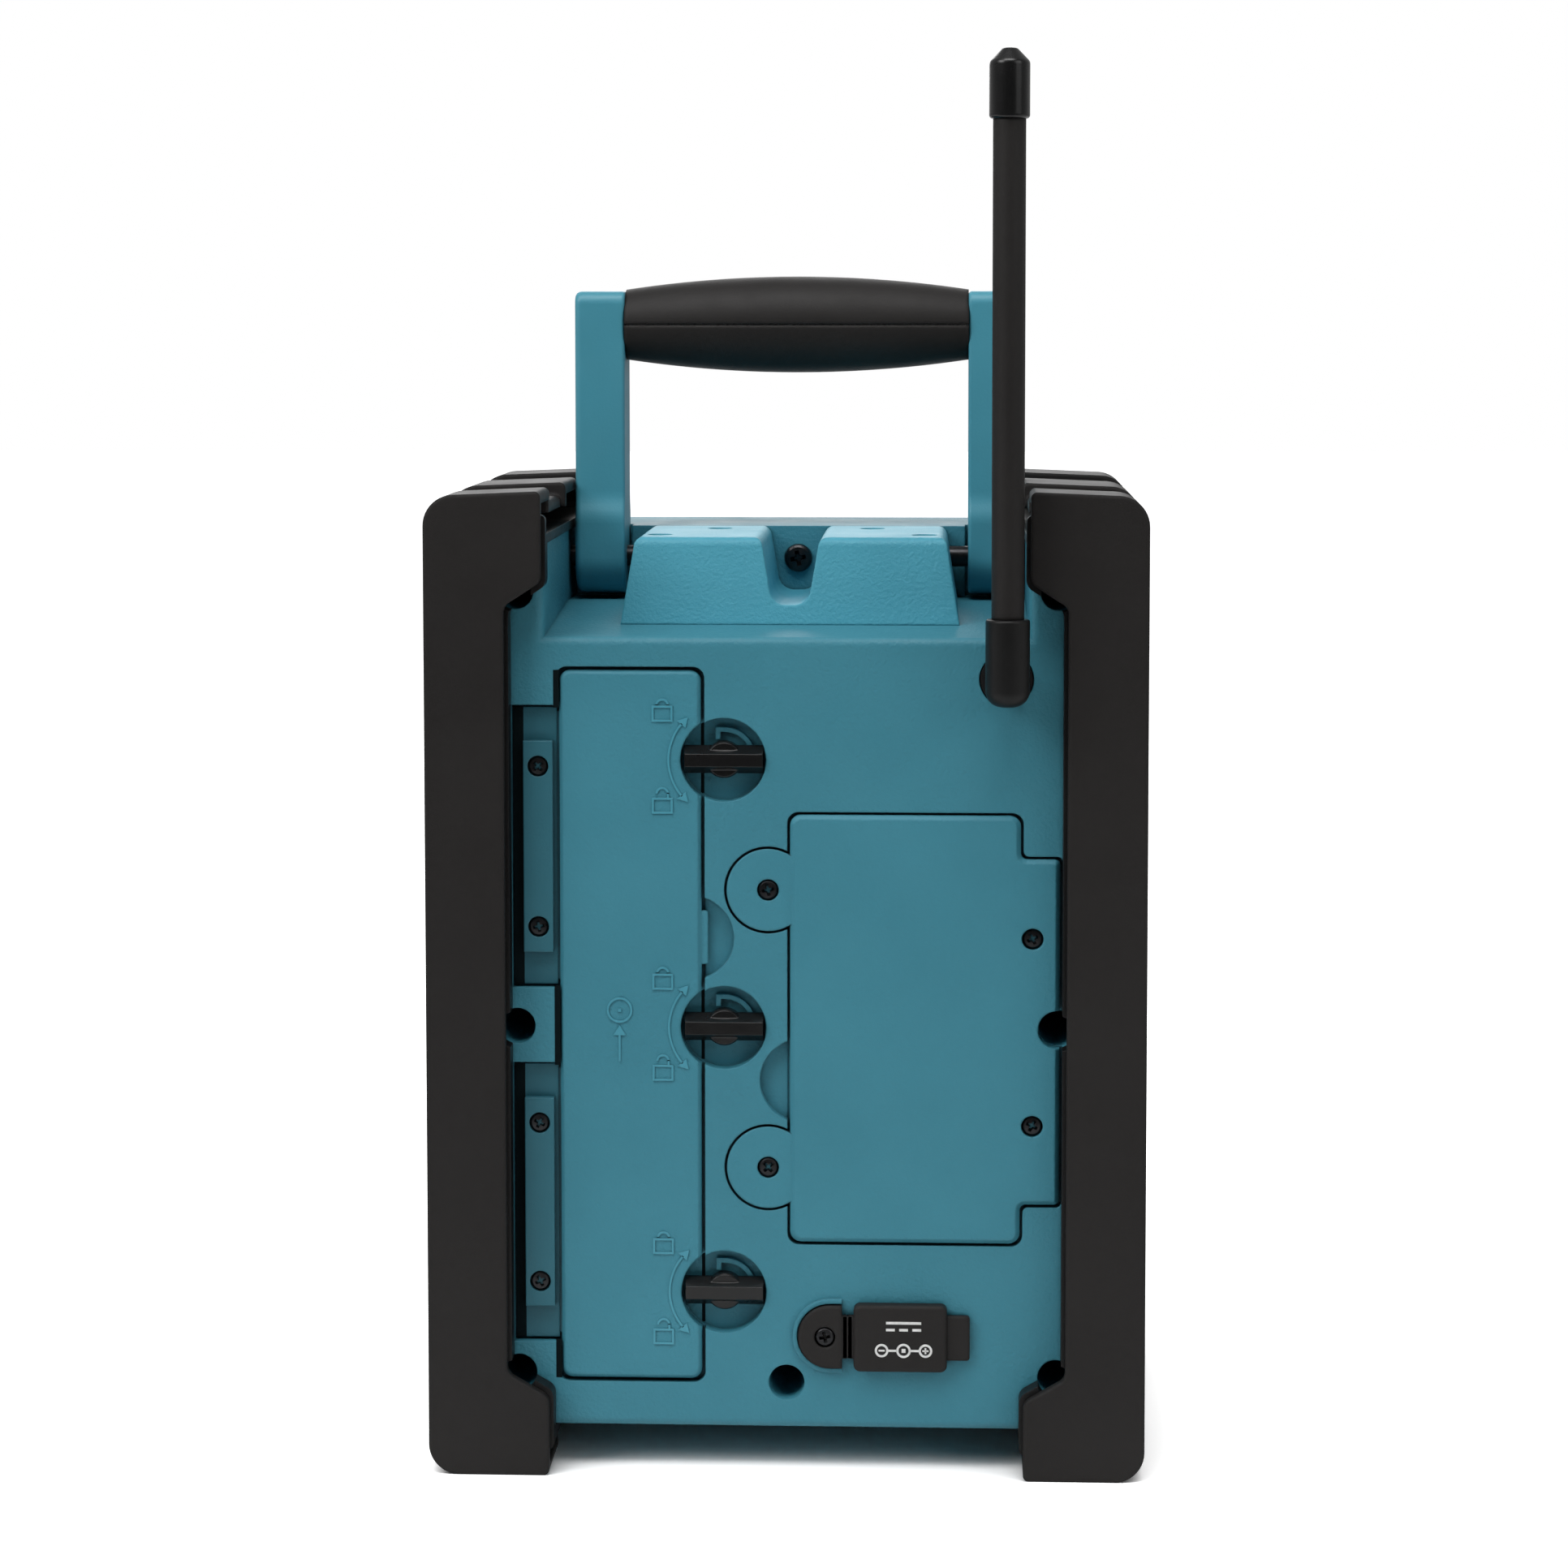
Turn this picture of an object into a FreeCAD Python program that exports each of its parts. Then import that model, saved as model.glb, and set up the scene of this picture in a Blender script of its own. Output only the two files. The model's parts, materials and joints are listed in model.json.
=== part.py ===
"""Compact jobsite radio with guards, carry handle, socket bay door and whip antenna.

Frame: millimetres, +Z up, +Y towards the rear, origin on the feet plane under the middle.
"""
import FreeCAD, Part
import math
import os
import re
import Sketcher

DOC = FreeCAD.newDocument("JobsiteRadio")
SHEET = DOC.addObject("Spreadsheet::Sheet", "Sizes")

# Driving dimensions in millimetres and degrees
SIZES = {
    # Overall envelope and guards
    "guard_span": 163.0,
    "guard_height": 225.0,
    "guard_depth": 124.0,
    "guard_crown": 1.1,
    "guard_wall": 2.4,
    "groove_depth": 2.9,
    "rear_band": 20.0,
    "rear_groove": 24.0,
    "middle_band": 27.0,
    "front_band": 22.0,
    "strip_width": 18.0,
    "head_width": 26.5,
    "head_reach": 1.2,
    "head_drop": 20.5,
    "foot_width": 27.5,
    "foot_rise": 18.0,
    "guard_step": 5.5,
    "guard_corner": 7.0,
    "frame_wall": 2.2,
    "frame_show": 0.9,
    # Case shells
    "case_width": 147.0,
    "case_bottom": 9.5,
    "case_top": 213.0,
    "case_inset": 7.4,
    "parting_depth": 67.6,
    "case_wall": 3.0,
    "rear_wall": 6.0,
    "case_round": 2.0,
    # Top recess, where the handle folds
    "recess_width": 110.0,
    "recess_lip": 191.5,
    "recess_floor": 195.7,
    "recess_run": 52.0,
    "recess_skin": 3.2,
    # Handle bracket
    "bracket_foot_width": 78.8,
    "bracket_top_width": 72.0,
    "bracket_rear": 37.0,
    "bracket_lean": 4.0,
    "bracket_front": -12.6,
    "bracket_round": 2.2,
    "notch_floor": 197.5,
    "notch_radius": 4.2,
    "notch_flare": 7.0,
    "notch_screw_drop": 7.8,
    "bracket_hole": 2.95,
    "bracket_hole_depth": 6.0,
    "bracket_hole_wide": 31.0,
    "bracket_hole_close": 18.35,
    "bracket_hole_rear": 23.0,
    "bracket_hole_front": -2.0,
    # Handle
    "pivot_depth": -8.0,
    "pivot_height": 206.0,
    "arm_outer": 53.3,
    "arm_thick": 12.0,
    "arm_deep": 15.0,
    "arm_top": 270.0,
    "arm_root": 9.0,
    "arm_corner": 3.0,
    "pin_radius": 2.5,
    "pin_fit": 0.08,
    "slot_clearance": 0.7,
    "grip_height": 262.0,
    "grip_end": 8.3,
    "grip_middle": 11.4,
    "grip_core": 4.0,
    "grip_line": 0.3,
    # Antenna
    "antenna_side": -49.8,
    "antenna_height": 182.3,
    "antenna_seat": 6.2,
    "antenna_depth": 67.6,
    "sleeve_radius": 4.95,
    "sleeve_top": 197.0,
    "sleeve_bottom": 177.4,
    "whip_radius": 3.65,
    "cap_radius": 4.5,
    "cap_bottom": 307.5,
    "cap_shoulder": 320.0,
    "antenna_tip": 323.0,
    "tip_radius": 1.6,
    # Socket bay door and its hinge
    "door_free_edge": 19.4,
    "door_hinge_edge": 51.7,
    "door_low": 20.7,
    "door_high": 184.1,
    "door_thick": 2.8,
    "door_corner": 2.6,
    "door_gap": 0.8,
    "door_rest_gap": 0.3,
    "hinge_edge": 62.6,
    "hinge_upper_low": 111.2,
    "hinge_lower_low": 29.1,
    "hinge_length": 64.9,
    "hinge_deep": 3.0,
    "strap_thick": 1.2,
    "clamp_near": 53.2,
    "clamp_width": 6.7,
    "clamp_length": 48.4,
    "clamp_offset": 8.3,
    "clamp_screw_inset": 5.8,
    "catch_low": 116.8,
    "catch_high": 129.0,
    "catch_reach": 1.5,
    "scoop_radius": 9.7,
    "scoop_side": 21.6,
    "scoop_deep": 2.4,
    # Latch knobs
    "knob_side": 14.2,
    "knob_upper": 163.7,
    "knob_middle": 102.3,
    "knob_lower": 41.1,
    "knob_dish": 9.6,
    "knob_dish_deep": 4.0,
    "knob_length": 18.4,
    "knob_width": 6.6,
    "knob_hub": 4.0,
    "knob_shaft": 2.6,
    "knob_fit": 0.08,
    "knob_lift": 0.3,
    "knob_head": 3.6,
    "latch_notch": 0.7,
    "clip_length": 11.5,
    "clip_width": 6.0,
    "clip_thick": 1.6,
    "rib_width": 1.1,
    "rib_rise": 1.4,
    "rib_radius": 7.2,
    # Socket bay behind the door
    "tub_wall": 1.2,
    "bay_low": 22.4,
    "bay_high": 182.6,
    "bay_deep": 38.0,
    "bay_inset": 1.2,
    "aux_side": 38.0,
    "aux_height": 103.0,
    "aux_block": 12.0,
    "aux_radius": 1.8,
    "aux_bore": 10.0,
    # Battery tub and cells behind the screwed cover
    "cell_radius": 7.25,
    "cell_length": 50.5,
    "cell_nub": 1.2,
    "cell_gap": 0.1,
    "cell_count": 6.0,
    "cell_play": 0.4,
    "tub_near": 0.2,
    "tub_middle": 102.1,
    "tub_lip": 2.0,
    "contact_thick": 0.5,
    # Battery cover
    "cover_near": -0.8,
    "cover_far": -53.2,
    "cover_low": 52.9,
    "cover_high": 151.3,
    "cover_wing": -62.1,
    "cover_wing_low": 62.0,
    "cover_wing_high": 141.4,
    "cover_thick": 3.2,
    "cover_proud": 0.6,
    "cover_gap": 0.6,
    "cover_corner": 2.6,
    "cover_chamfer": 1.0,
    "ear_radius": 9.4,
    "ear_side": 4.2,
    "ear_upper": 134.0,
    "ear_lower": 70.1,
    "wing_screw_side": -55.9,
    "wing_screw_upper": 123.2,
    "wing_screw_lower": 80.2,
    "cover_scoop_side": -3.6,
    "cover_scoop_height": 90.2,
    # Screw tunnels of the case
    "tunnel_radius": 4.1,
    "tunnel_deep": 40.0,
    "tunnel_side": 61.5,
    "tunnel_middle": 102.4,
    "tunnel_upper": 202.0,
    "tunnel_lower": 22.0,
    "tunnel_centre": 20.2,
    "boss_wall": 2.0,
    # Screws
    "screw_head": 2.4,
    "screw_head_deep": 1.8,
    "screw_shank": 1.4,
    "screw_length": 9.0,
    "case_screw_head": 3.4,
    # Power inlet and flap
    "inlet_height": 31.3,
    "inlet_side": -26.0,
    "inlet_radius": 6.2,
    "jack_radius": 5.4,
    "jack_bore": 3.2,
    "jack_pin": 1.0,
    "jack_flange": 2.0,
    "flap_near": -15.4,
    "flap_far": -36.7,
    "flap_tall": 15.4,
    "flap_thick": 3.0,
    "flap_corner": 1.5,
    "flap_tab": 5.2,
    "flap_tab_tall": 10.2,
    "flap_plug": 4.4,
    "flap_plug_deep": 2.4,
    "flap_hinge": -14.0,
    "anchor_near": -2.7,
    "anchor_far": -12.7,
    "anchor_radius": 7.2,
    "anchor_thick": 2.0,
    "anchor_screw": -8.8,
    "strap_tall": 9.8,
    "anchor_rim": 1.0,
    # Front panel
    "speaker_foot": 14.5,
    "speaker_opening": 43.0,
    "grille_thick": 2.4,
    "grille_cell": 2.9,
    "grille_bar": 1.5,
    "grille_rings": 5.0,
    "speaker_frame": 46.0,
    "speaker_deep": 22.0,
    "magnet_radius": 24.0,
    "magnet_deep": 11.0,
    "display_rise": 8.0,
    "display_wide": 68.0,
    "display_tall": 27.0,
    "display_corner": 3.0,
    "lens_thick": 2.0,
    "volume_rise": 3.5,
    "volume_radius": 11.5,
    "volume_deep": 16.0,
    "volume_grips": 18.0,
    "button_rise": 10.0,
    "button_pitch": 21.0,
    "button_wide": 14.0,
    "button_tall": 7.0,
    "button_proud": 1.8,
    "button_travel": 0.8,
    "button_gap": 0.3,
    "board_thick": 1.6,
    "board_inset": 12.0,
    "panel_lap": 2.0,
    "part_gap": 0.3,
}
WORD = re.compile(r"[a-z]+(?:_[a-z]+)*")
TINY = 0.01
OVERCUT = 1.0
NODES = []


def fill_sheet():
    for row, (alias, value) in enumerate(SIZES.items(), start=1):
        SHEET.set(f"A{row}", alias)
        SHEET.set(f"B{row}", str(value))
        SHEET.setAlias(f"B{row}", alias)
    DOC.recompute()


class SheetReader:
    """Gives a cell of the sheet as a number, by its alias."""

    def __getattr__(self, alias):
        return float(getattr(SHEET, alias))


S = SheetReader()


def bind(item, prop, text):
    """Bind a property to an expression written with the sheet's aliases."""
    def cell(match):
        word = match.group(0)
        return "Sizes." + word if word in SIZES else word
    item.setExpression(prop, WORD.sub(cell, text))


def publish(item, node):
    """Mark an object as a finished sub-part and give it its own label."""
    item.Label = node
    NODES.append(item)
    return item


# Shared positions worked out from the sheet
def half_depth():
    return S.guard_depth / 2


def half_span():
    return S.guard_span / 2


def rear_face():
    return half_depth() - S.case_inset


def parting():
    return rear_face() - S.parting_depth


def front_face():
    return -rear_face()


REAR_FACE = "(guard_depth / 2 - case_inset)"
PARTING = "(guard_depth / 2 - case_inset - parting_depth)"
FRONT_FACE = "(case_inset - guard_depth / 2)"


# Heights on the front panel, each from the piece below it
def speaker_height():
    return S.case_bottom + S.case_wall + S.speaker_foot + S.speaker_frame


def volume_height():
    return speaker_height() + S.speaker_opening + S.volume_rise + S.volume_radius


def button_height():
    return volume_height() + S.volume_radius + S.button_rise + S.button_tall / 2


def display_height():
    return button_height() + S.button_tall / 2 + S.display_rise + S.display_tall / 2


SPEAKER_HEIGHT = "(case_bottom + case_wall + speaker_foot + speaker_frame)"
VOLUME_HEIGHT = f"({SPEAKER_HEIGHT} + speaker_opening + volume_rise + volume_radius)"
BUTTON_HEIGHT = f"({VOLUME_HEIGHT} + volume_radius + button_rise + button_tall / 2)"
DISPLAY_HEIGHT = f"({BUTTON_HEIGHT} + button_tall / 2 + display_rise + display_tall / 2)"


# Outlines: each loop is a list of line and arc edges in the plane of a sketch
def flat(x, y):
    return FreeCAD.Vector(x, y, 0)


def ring(x, y, radius):
    return [Part.Circle(flat(x, y), FreeCAD.Vector(0, 0, 1), radius)]


def rounded(points):
    """Closed outline through corners (x, y, radius), with tangent arcs at the corners."""
    count = len(points)
    arcs = []
    for index, (x, y, radius) in enumerate(points):
        here = flat(x, y)
        before = flat(*points[index - 1][:2]) - here
        after = flat(*points[(index + 1) % count][:2]) - here
        if radius < TINY:
            arcs.append((here, None, here))
            continue
        before.normalize()
        after.normalize()
        half = before.getAngle(after) / 2
        reach = radius / math.tan(half)
        middle = before + after
        middle.normalize()
        centre = here + middle * (radius / math.sin(half))
        arcs.append((here + before * reach, centre - middle * radius, here + after * reach))
    edges = []
    for index, (start, mid, end) in enumerate(arcs):
        if mid is not None:
            edges.append(Part.Arc(start, mid, end))
        following = arcs[(index + 1) % count][0]
        if (following - end).Length > TINY:
            edges.append(Part.LineSegment(end, following))
    return edges


def rectangle(x0, x1, y0, y1, radius=0.0):
    return rounded([(x0, y0, radius), (x1, y0, radius), (x1, y1, radius), (x0, y1, radius)])


class Moulding:
    """One PartDesign body, built from sketches on offset origin planes."""

    def __init__(self, name):
        self.body = DOC.addObject("PartDesign::Body", name)
        self.name = name
        self.steps = 0

    def plane(self, role):
        for feature in self.body.Origin.OriginFeatures:
            if feature.Role == role:
                return feature
        raise ValueError(role)

    def next_name(self, kind):
        self.steps += 1
        return f"{self.name}_{kind}_{self.steps}"

    def sketch(self, loops, role, offset):
        """Sketch of closed loops on an origin plane that is moved along its normal."""
        sketch = self.body.newObject("Sketcher::SketchObject", self.next_name("sketch"))
        sketch.AttachmentSupport = (self.plane(role), [""])
        sketch.MapMode = "FlatFace"
        sign = "-" if role == "XZ_Plane" else ""
        bind(sketch, "AttachmentOffset.Base.z", f"{sign}({offset})")
        for loop in loops:
            first = sketch.GeometryCount
            sketch.addGeometry(loop, False)
            if len(loop) == 1:
                sketch.addConstraint(Sketcher.Constraint("Radius", first, loop[0].Radius))
        return sketch

    def volume(self):
        DOC.recompute()
        return self.body.Shape.Volume

    def pad(self, loops, length, role="XZ_Plane", offset="0"):
        """Add material from the sketch along its plane's normal."""
        sketch = self.sketch(loops, role, offset)
        pad = self.body.newObject("PartDesign::Pad", self.next_name("pad"))
        pad.Profile = sketch
        bind(pad, "Length", length)
        DOC.recompute()
        return pad

    def pocket(self, loops, length, role="XZ_Plane", offset="0"):
        """Cut from the sketch along its plane's normal and test that material goes."""
        before = self.volume()
        sketch = self.sketch(loops, role, offset)
        pocket = self.body.newObject("PartDesign::Pocket", self.next_name("pocket"))
        pocket.Profile = sketch
        pocket.Reversed = True
        bind(pocket, "Length", length)
        if self.volume() >= before:
            raise ValueError(f"{pocket.Name} cuts nothing")
        return pocket

    def turn(self, loops, kind="Revolution", role="XZ_Plane", offset="0"):
        """Full revolution or groove about the sketch's own vertical axis."""
        sketch = self.sketch(loops, role, offset)
        feature = self.body.newObject(f"PartDesign::{kind}", self.next_name(kind.lower()))
        feature.Profile = sketch
        feature.ReferenceAxis = (sketch, ["V_Axis"])
        feature.Angle = 360.0
        DOC.recompute()
        return feature

    def dress(self, kind, prop, size, chooser):
        """Fillet or chamfer the edges of the tip that the chooser picks."""
        DOC.recompute()
        tip = self.body.Tip
        names = [f"Edge{n}" for n, edge in enumerate(tip.Shape.Edges, start=1) if chooser(edge)]
        if not names:
            raise ValueError(f"{self.name}: no edges to {kind}")
        feature = self.body.newObject(f"PartDesign::{kind}", self.next_name(kind.lower()))
        feature.Base = (tip, names)
        bind(feature, prop, size)
        DOC.recompute()
        if "Invalid" in feature.State:
            raise ValueError(f"{feature.Name} failed")
        return feature

    def fillet(self, size, chooser):
        return self.dress("Fillet", "Radius", size, chooser)

    def chamfer(self, size, chooser):
        return self.dress("Chamfer", "Size", size, chooser)

    def publish(self):
        return publish(self.body, self.name)


def level(edge, axis, value):
    """True if the whole edge lies at one value along an axis: 0 is X, 1 is Y, 2 is Z."""
    box = edge.BoundBox
    low = (box.XMin, box.YMin, box.ZMin)[axis]
    high = (box.XMax, box.YMax, box.ZMax)[axis]
    return abs(low - value) < TINY * 2 and abs(high - value) < TINY * 2


def along(edge, axis):
    """True if the edge is straight and runs along an axis."""
    if not isinstance(edge.Curve, Part.Line):
        return False
    run = edge.tangentAt(edge.FirstParameter)
    return abs(abs((run.x, run.y, run.z)[axis]) - 1) < TINY


# Plain solids from primitives, with every size bound to the sheet
def block(name, x, y, z):
    """Box from three (low, high) pairs of expressions."""
    box = DOC.addObject("Part::Box", name)
    for prop, base, (low, high) in (("Length", "x", x), ("Width", "y", y), ("Height", "z", z)):
        bind(box, prop, f"({high}) - ({low})")
        bind(box, f"Placement.Base.{base}", low)
    return box


TURNS = {
    "x": FreeCAD.Rotation(FreeCAD.Vector(0, 1, 0), 90),
    "y": FreeCAD.Rotation(FreeCAD.Vector(1, 0, 0), -90),
    "z": FreeCAD.Rotation(),
}


def drum(name, axis, centre, radius, low, high):
    """Cylinder along an axis; centre holds the other two coordinates, in X, Y, Z order."""
    item = DOC.addObject("Part::Cylinder", name)
    bind(item, "Radius", radius)
    bind(item, "Height", f"({high}) - ({low})")
    item.Placement = FreeCAD.Placement(FreeCAD.Vector(), TURNS[axis])
    bind(item, f"Placement.Base.{axis}", low)
    others = [letter for letter in "xyz" if letter != axis]
    for letter, value in zip(others, centre):
        bind(item, f"Placement.Base.{letter}", value)
    return item


def fuse(name, items):
    item = DOC.addObject("Part::MultiFuse", name)
    item.Shapes = items
    return item


def cut(name, base, tool):
    item = DOC.addObject("Part::Cut", name)
    item.Base = base
    item.Tool = tool
    return item


def group(name, items):
    item = DOC.addObject("Part::Compound", name)
    item.Links = items
    return item


def rear_screw(name, side, height, top, head="screw_head", length="screw_length"):
    """Screw that is driven in from the rear: its head's top is at the given depth."""
    centre = (side, height)
    under = f"({top}) - screw_head_deep"
    cap = drum(f"{name}_head", "y", centre, head, under, top)
    shank = drum(f"{name}_shank", "y", centre, "screw_shank", f"{under} - ({length})", under)
    return fuse(name, [cap, shank])


# Guards: a corrugated bumper shell down each side
def guard_outline(side, inset, head_reach=0.0, show=0.0):
    """Outline of a guard seen from behind, moved in from its outer faces by an inset."""
    outer = half_span() - inset
    bottom = inset
    top = S.guard_height - inset
    head = half_span() - S.head_width - head_reach - show
    foot = half_span() - S.foot_width - show
    strip = half_span() - S.strip_width - show
    head_low = S.guard_height - S.head_drop - show
    foot_high = S.foot_rise + show
    corner = S.guard_corner
    small = corner / 5
    step = S.guard_step
    points = [
        (foot, bottom, small),
        (outer, bottom, corner),
        (outer, top - S.guard_crown, corner),
        (head, top, small),
        (head, head_low, small * 2),
        (strip, head_low - step, small * 2),
        (strip, foot_high + step, small * 2),
        (foot, foot_high, small * 2),
    ]
    return rounded([(side * x, z, radius) for x, z, radius in points])


def guard_cavity(side, inset):
    """Hollow of a guard: closed at the outer side, top and bottom, open to the case."""
    outer = half_span() - inset
    inner = half_span() - S.foot_width - S.head_width / 2
    corner = S.guard_corner - S.guard_wall
    top = S.guard_height - inset
    points = [
        (inner, inset, 0.0),
        (outer, inset, corner),
        (outer, top - S.guard_crown, corner),
        (inner, top, 0.0),
    ]
    return rounded([(side * x, z, radius) for x, z, radius in points])


MIDDLE_BAND_REAR = "guard_depth / 2 - rear_band - rear_groove"
FRONT_BAND_REAR = "front_band - guard_depth / 2"


def guard(name, side):
    part = Moulding(name)
    grooved = S.groove_depth
    part.pad([guard_outline(side, grooved)], "guard_depth", offset="guard_depth / 2")
    part.pad([guard_outline(side, 0.0)], "rear_band", offset="guard_depth / 2")
    part.pad([guard_outline(side, 0.0, S.head_reach)], "middle_band", offset=MIDDLE_BAND_REAR)
    part.pad([guard_outline(side, 0.0, S.head_reach)], "front_band", offset=FRONT_BAND_REAR)
    wall = S.guard_wall
    part.pocket([guard_cavity(side, grooved + wall)], "guard_depth - 2 * guard_wall",
                offset="guard_depth / 2 - guard_wall")
    part.pocket([guard_cavity(side, wall)], "rear_band - 2 * guard_wall",
                offset="guard_depth / 2 - guard_wall")
    part.pocket([guard_cavity(side, wall)], "middle_band - 2 * guard_wall",
                offset=f"{MIDDLE_BAND_REAR} - guard_wall")
    part.pocket([guard_cavity(side, wall)], "front_band - 2 * guard_wall",
                offset=f"{FRONT_BAND_REAR} - guard_wall")
    part.publish()


def guard_frame(name, side):
    """Black inner frame that holds the guard to the case."""
    part = Moulding(name)
    inset = S.groove_depth + S.guard_wall
    depth = "guard_depth - 2 * guard_wall"
    rear = "guard_depth / 2 - guard_wall"
    outline = guard_outline(side, inset, 0.0, S.frame_show)
    part.pad([outline], depth, offset=rear)
    half_case = S.case_width / 2
    hollow = rectangle(0, side * half_case, S.case_bottom, S.case_top)
    part.pocket([hollow], "guard_depth - 2 * case_inset", offset=REAR_FACE)
    upper = S.case_top + S.frame_wall
    roof = rectangle(0, side * half_span(), upper, S.guard_height)
    part.pocket([roof], "guard_depth - 4 * guard_wall", offset=f"{rear} - guard_wall")
    tunnels = [ring(side * S.tunnel_side, height, S.tunnel_radius)
               for height in (S.tunnel_upper, S.tunnel_middle, S.tunnel_lower)]
    part.pocket(tunnels, "case_inset", offset="guard_depth / 2")
    part.publish()


# Case shells
def tunnel_places():
    """Centres of the screw tunnels that hold the shells together."""
    places = [(0.0, S.tunnel_centre)]
    for side in (-1, 1):
        for height in (S.tunnel_upper, S.tunnel_middle, S.tunnel_lower):
            places.append((side * S.tunnel_side, height))
    return places


def door_notch_places():
    return [(S.knob_side, height) for height in (S.knob_upper, S.knob_middle, S.knob_lower)]


def cover_outline(gap):
    """Outline of the battery cover with its wing, grown by a gap."""
    corner = S.cover_corner
    near = S.cover_near + gap
    far = S.cover_far - gap
    wing = S.cover_wing - gap
    low = S.cover_low - gap
    high = S.cover_high + gap
    wing_low = S.cover_wing_low - gap
    wing_high = S.cover_wing_high + gap
    small = corner / 2
    return rounded([
        (near, low, corner), (near, high, corner), (far, high, corner),
        (far, wing_high, small), (wing, wing_high, small), (wing, wing_low, small),
        (far, wing_low, small), (far, low, corner),
    ])


def recess_profile():
    """Section of the top recess in the YZ plane, seen along X."""
    rear = rear_face()
    above = S.case_top + OVERCUT
    return rounded([
        (rear + OVERCUT, S.recess_lip, 0.0),
        (rear, S.recess_lip, 0.0),
        (rear - S.recess_run, S.recess_floor, 0.0),
        (parting() - OVERCUT, S.recess_floor, 0.0),
        (parting() - OVERCUT, above, 0.0),
        (rear + OVERCUT, above, 0.0),
    ])


def rear_case():
    part = Moulding("rear_case")
    half = S.case_width / 2
    part.pad([rectangle(-half, half, S.case_bottom, S.case_top)], "parting_depth",
             offset=REAR_FACE)
    part.pocket([recess_profile()], "recess_width", "YZ_Plane", "-recess_width / 2")
    edge = S.recess_width / 2
    part.fillet("case_round", lambda e: (
        level(e, 1, rear_face()) and (
            level(e, 2, S.recess_lip) or level(e, 2, S.case_bottom)
            or level(e, 0, edge) or level(e, 0, -edge))))
    inner = half - S.case_wall
    hollow_top = S.recess_lip - S.recess_skin
    part.pocket([rectangle(-inner, inner, S.case_bottom + S.case_wall, hollow_top)],
                "parting_depth - rear_wall", offset=f"{REAR_FACE} - rear_wall")
    bosses = [ring(x, z, S.tunnel_radius + S.boss_wall) for x, z in tunnel_places()
              if z < hollow_top]
    part.pad(bosses, "parting_depth - rear_wall + part_gap",
             offset=f"{REAR_FACE} - rear_wall + part_gap")
    part.pocket([ring(x, z, S.tunnel_radius) for x, z in tunnel_places()], "tunnel_deep",
                offset=REAR_FACE)
    part.pocket([ring(x, z, S.screw_shank) for x, z in tunnel_places()], "parting_depth",
                offset=REAR_FACE)
    rear_case_door_side(part)
    rear_case_cover_side(part)
    rear_case_top(part)
    part.publish()


def door_opening(grow):
    return rectangle(S.door_free_edge - grow, S.door_hinge_edge + grow,
                     S.door_low - grow, S.door_high + grow, S.door_corner)


def rear_case_door_side(part):
    """Seat of the bay door, hinge recesses, latch dishes and finger scoop."""
    part.pocket([door_opening(S.door_gap)], "door_thick + door_rest_gap", offset=REAR_FACE)
    for low in (S.hinge_upper_low, S.hinge_lower_low):
        part.pocket([rectangle(S.door_hinge_edge, S.hinge_edge, low, low + S.hinge_length)],
                    "hinge_deep", offset=REAR_FACE)
    part.pocket([ring(S.scoop_side, scoop_height(), S.scoop_radius)], "scoop_deep",
                offset=REAR_FACE)
    part.pocket([ring(x, z, S.knob_dish) for x, z in door_notch_places()], "knob_dish_deep",
                offset=REAR_FACE)
    part.pocket([rectangle(*bay_inside())], "rear_wall", offset=REAR_FACE)
    bore = S.knob_shaft + S.knob_fit
    part.pocket([ring(x, z, bore) for x, z in door_notch_places()],
                "rear_wall", offset=REAR_FACE)
    for x, z in door_notch_places():
        part.pad([guide_rib(x, z)], "rib_rise", offset=f"{REAR_FACE} - knob_dish_deep + rib_rise")


def guide_rib(x, z):
    """Raised L rib in the quadrant of a latch dish away from the door."""
    inner = S.rib_radius - S.rib_width
    near = S.knob_hub / 2
    foot = S.knob_width / 2 + S.rib_width
    diagonal = math.sqrt(0.5)
    outer_mid = flat(x - S.rib_radius * diagonal, z + S.rib_radius * diagonal)
    inner_mid = flat(x - inner * diagonal, z + inner * diagonal)
    outer_top = flat(x, z + S.rib_radius)
    inner_top = flat(x, z + inner)
    outer_end = flat(x - S.rib_radius, z)
    inner_end = flat(x - inner, z)
    corner = flat(x + near, z + S.rib_radius)
    drop = flat(x + near, z + foot)
    drop_side = flat(x + near - S.rib_width, z + foot)
    start = flat(x + near - S.rib_width, z + inner)
    return [
        Part.Arc(outer_end, outer_mid, outer_top),
        Part.LineSegment(outer_top, corner),
        Part.LineSegment(corner, drop),
        Part.LineSegment(drop, drop_side),
        Part.LineSegment(drop_side, start),
        Part.LineSegment(start, inner_top),
        Part.Arc(inner_top, inner_mid, inner_end),
        Part.LineSegment(inner_end, outer_end),
    ]


def scoop_height():
    return (S.catch_low + S.catch_high) / 2


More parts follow.
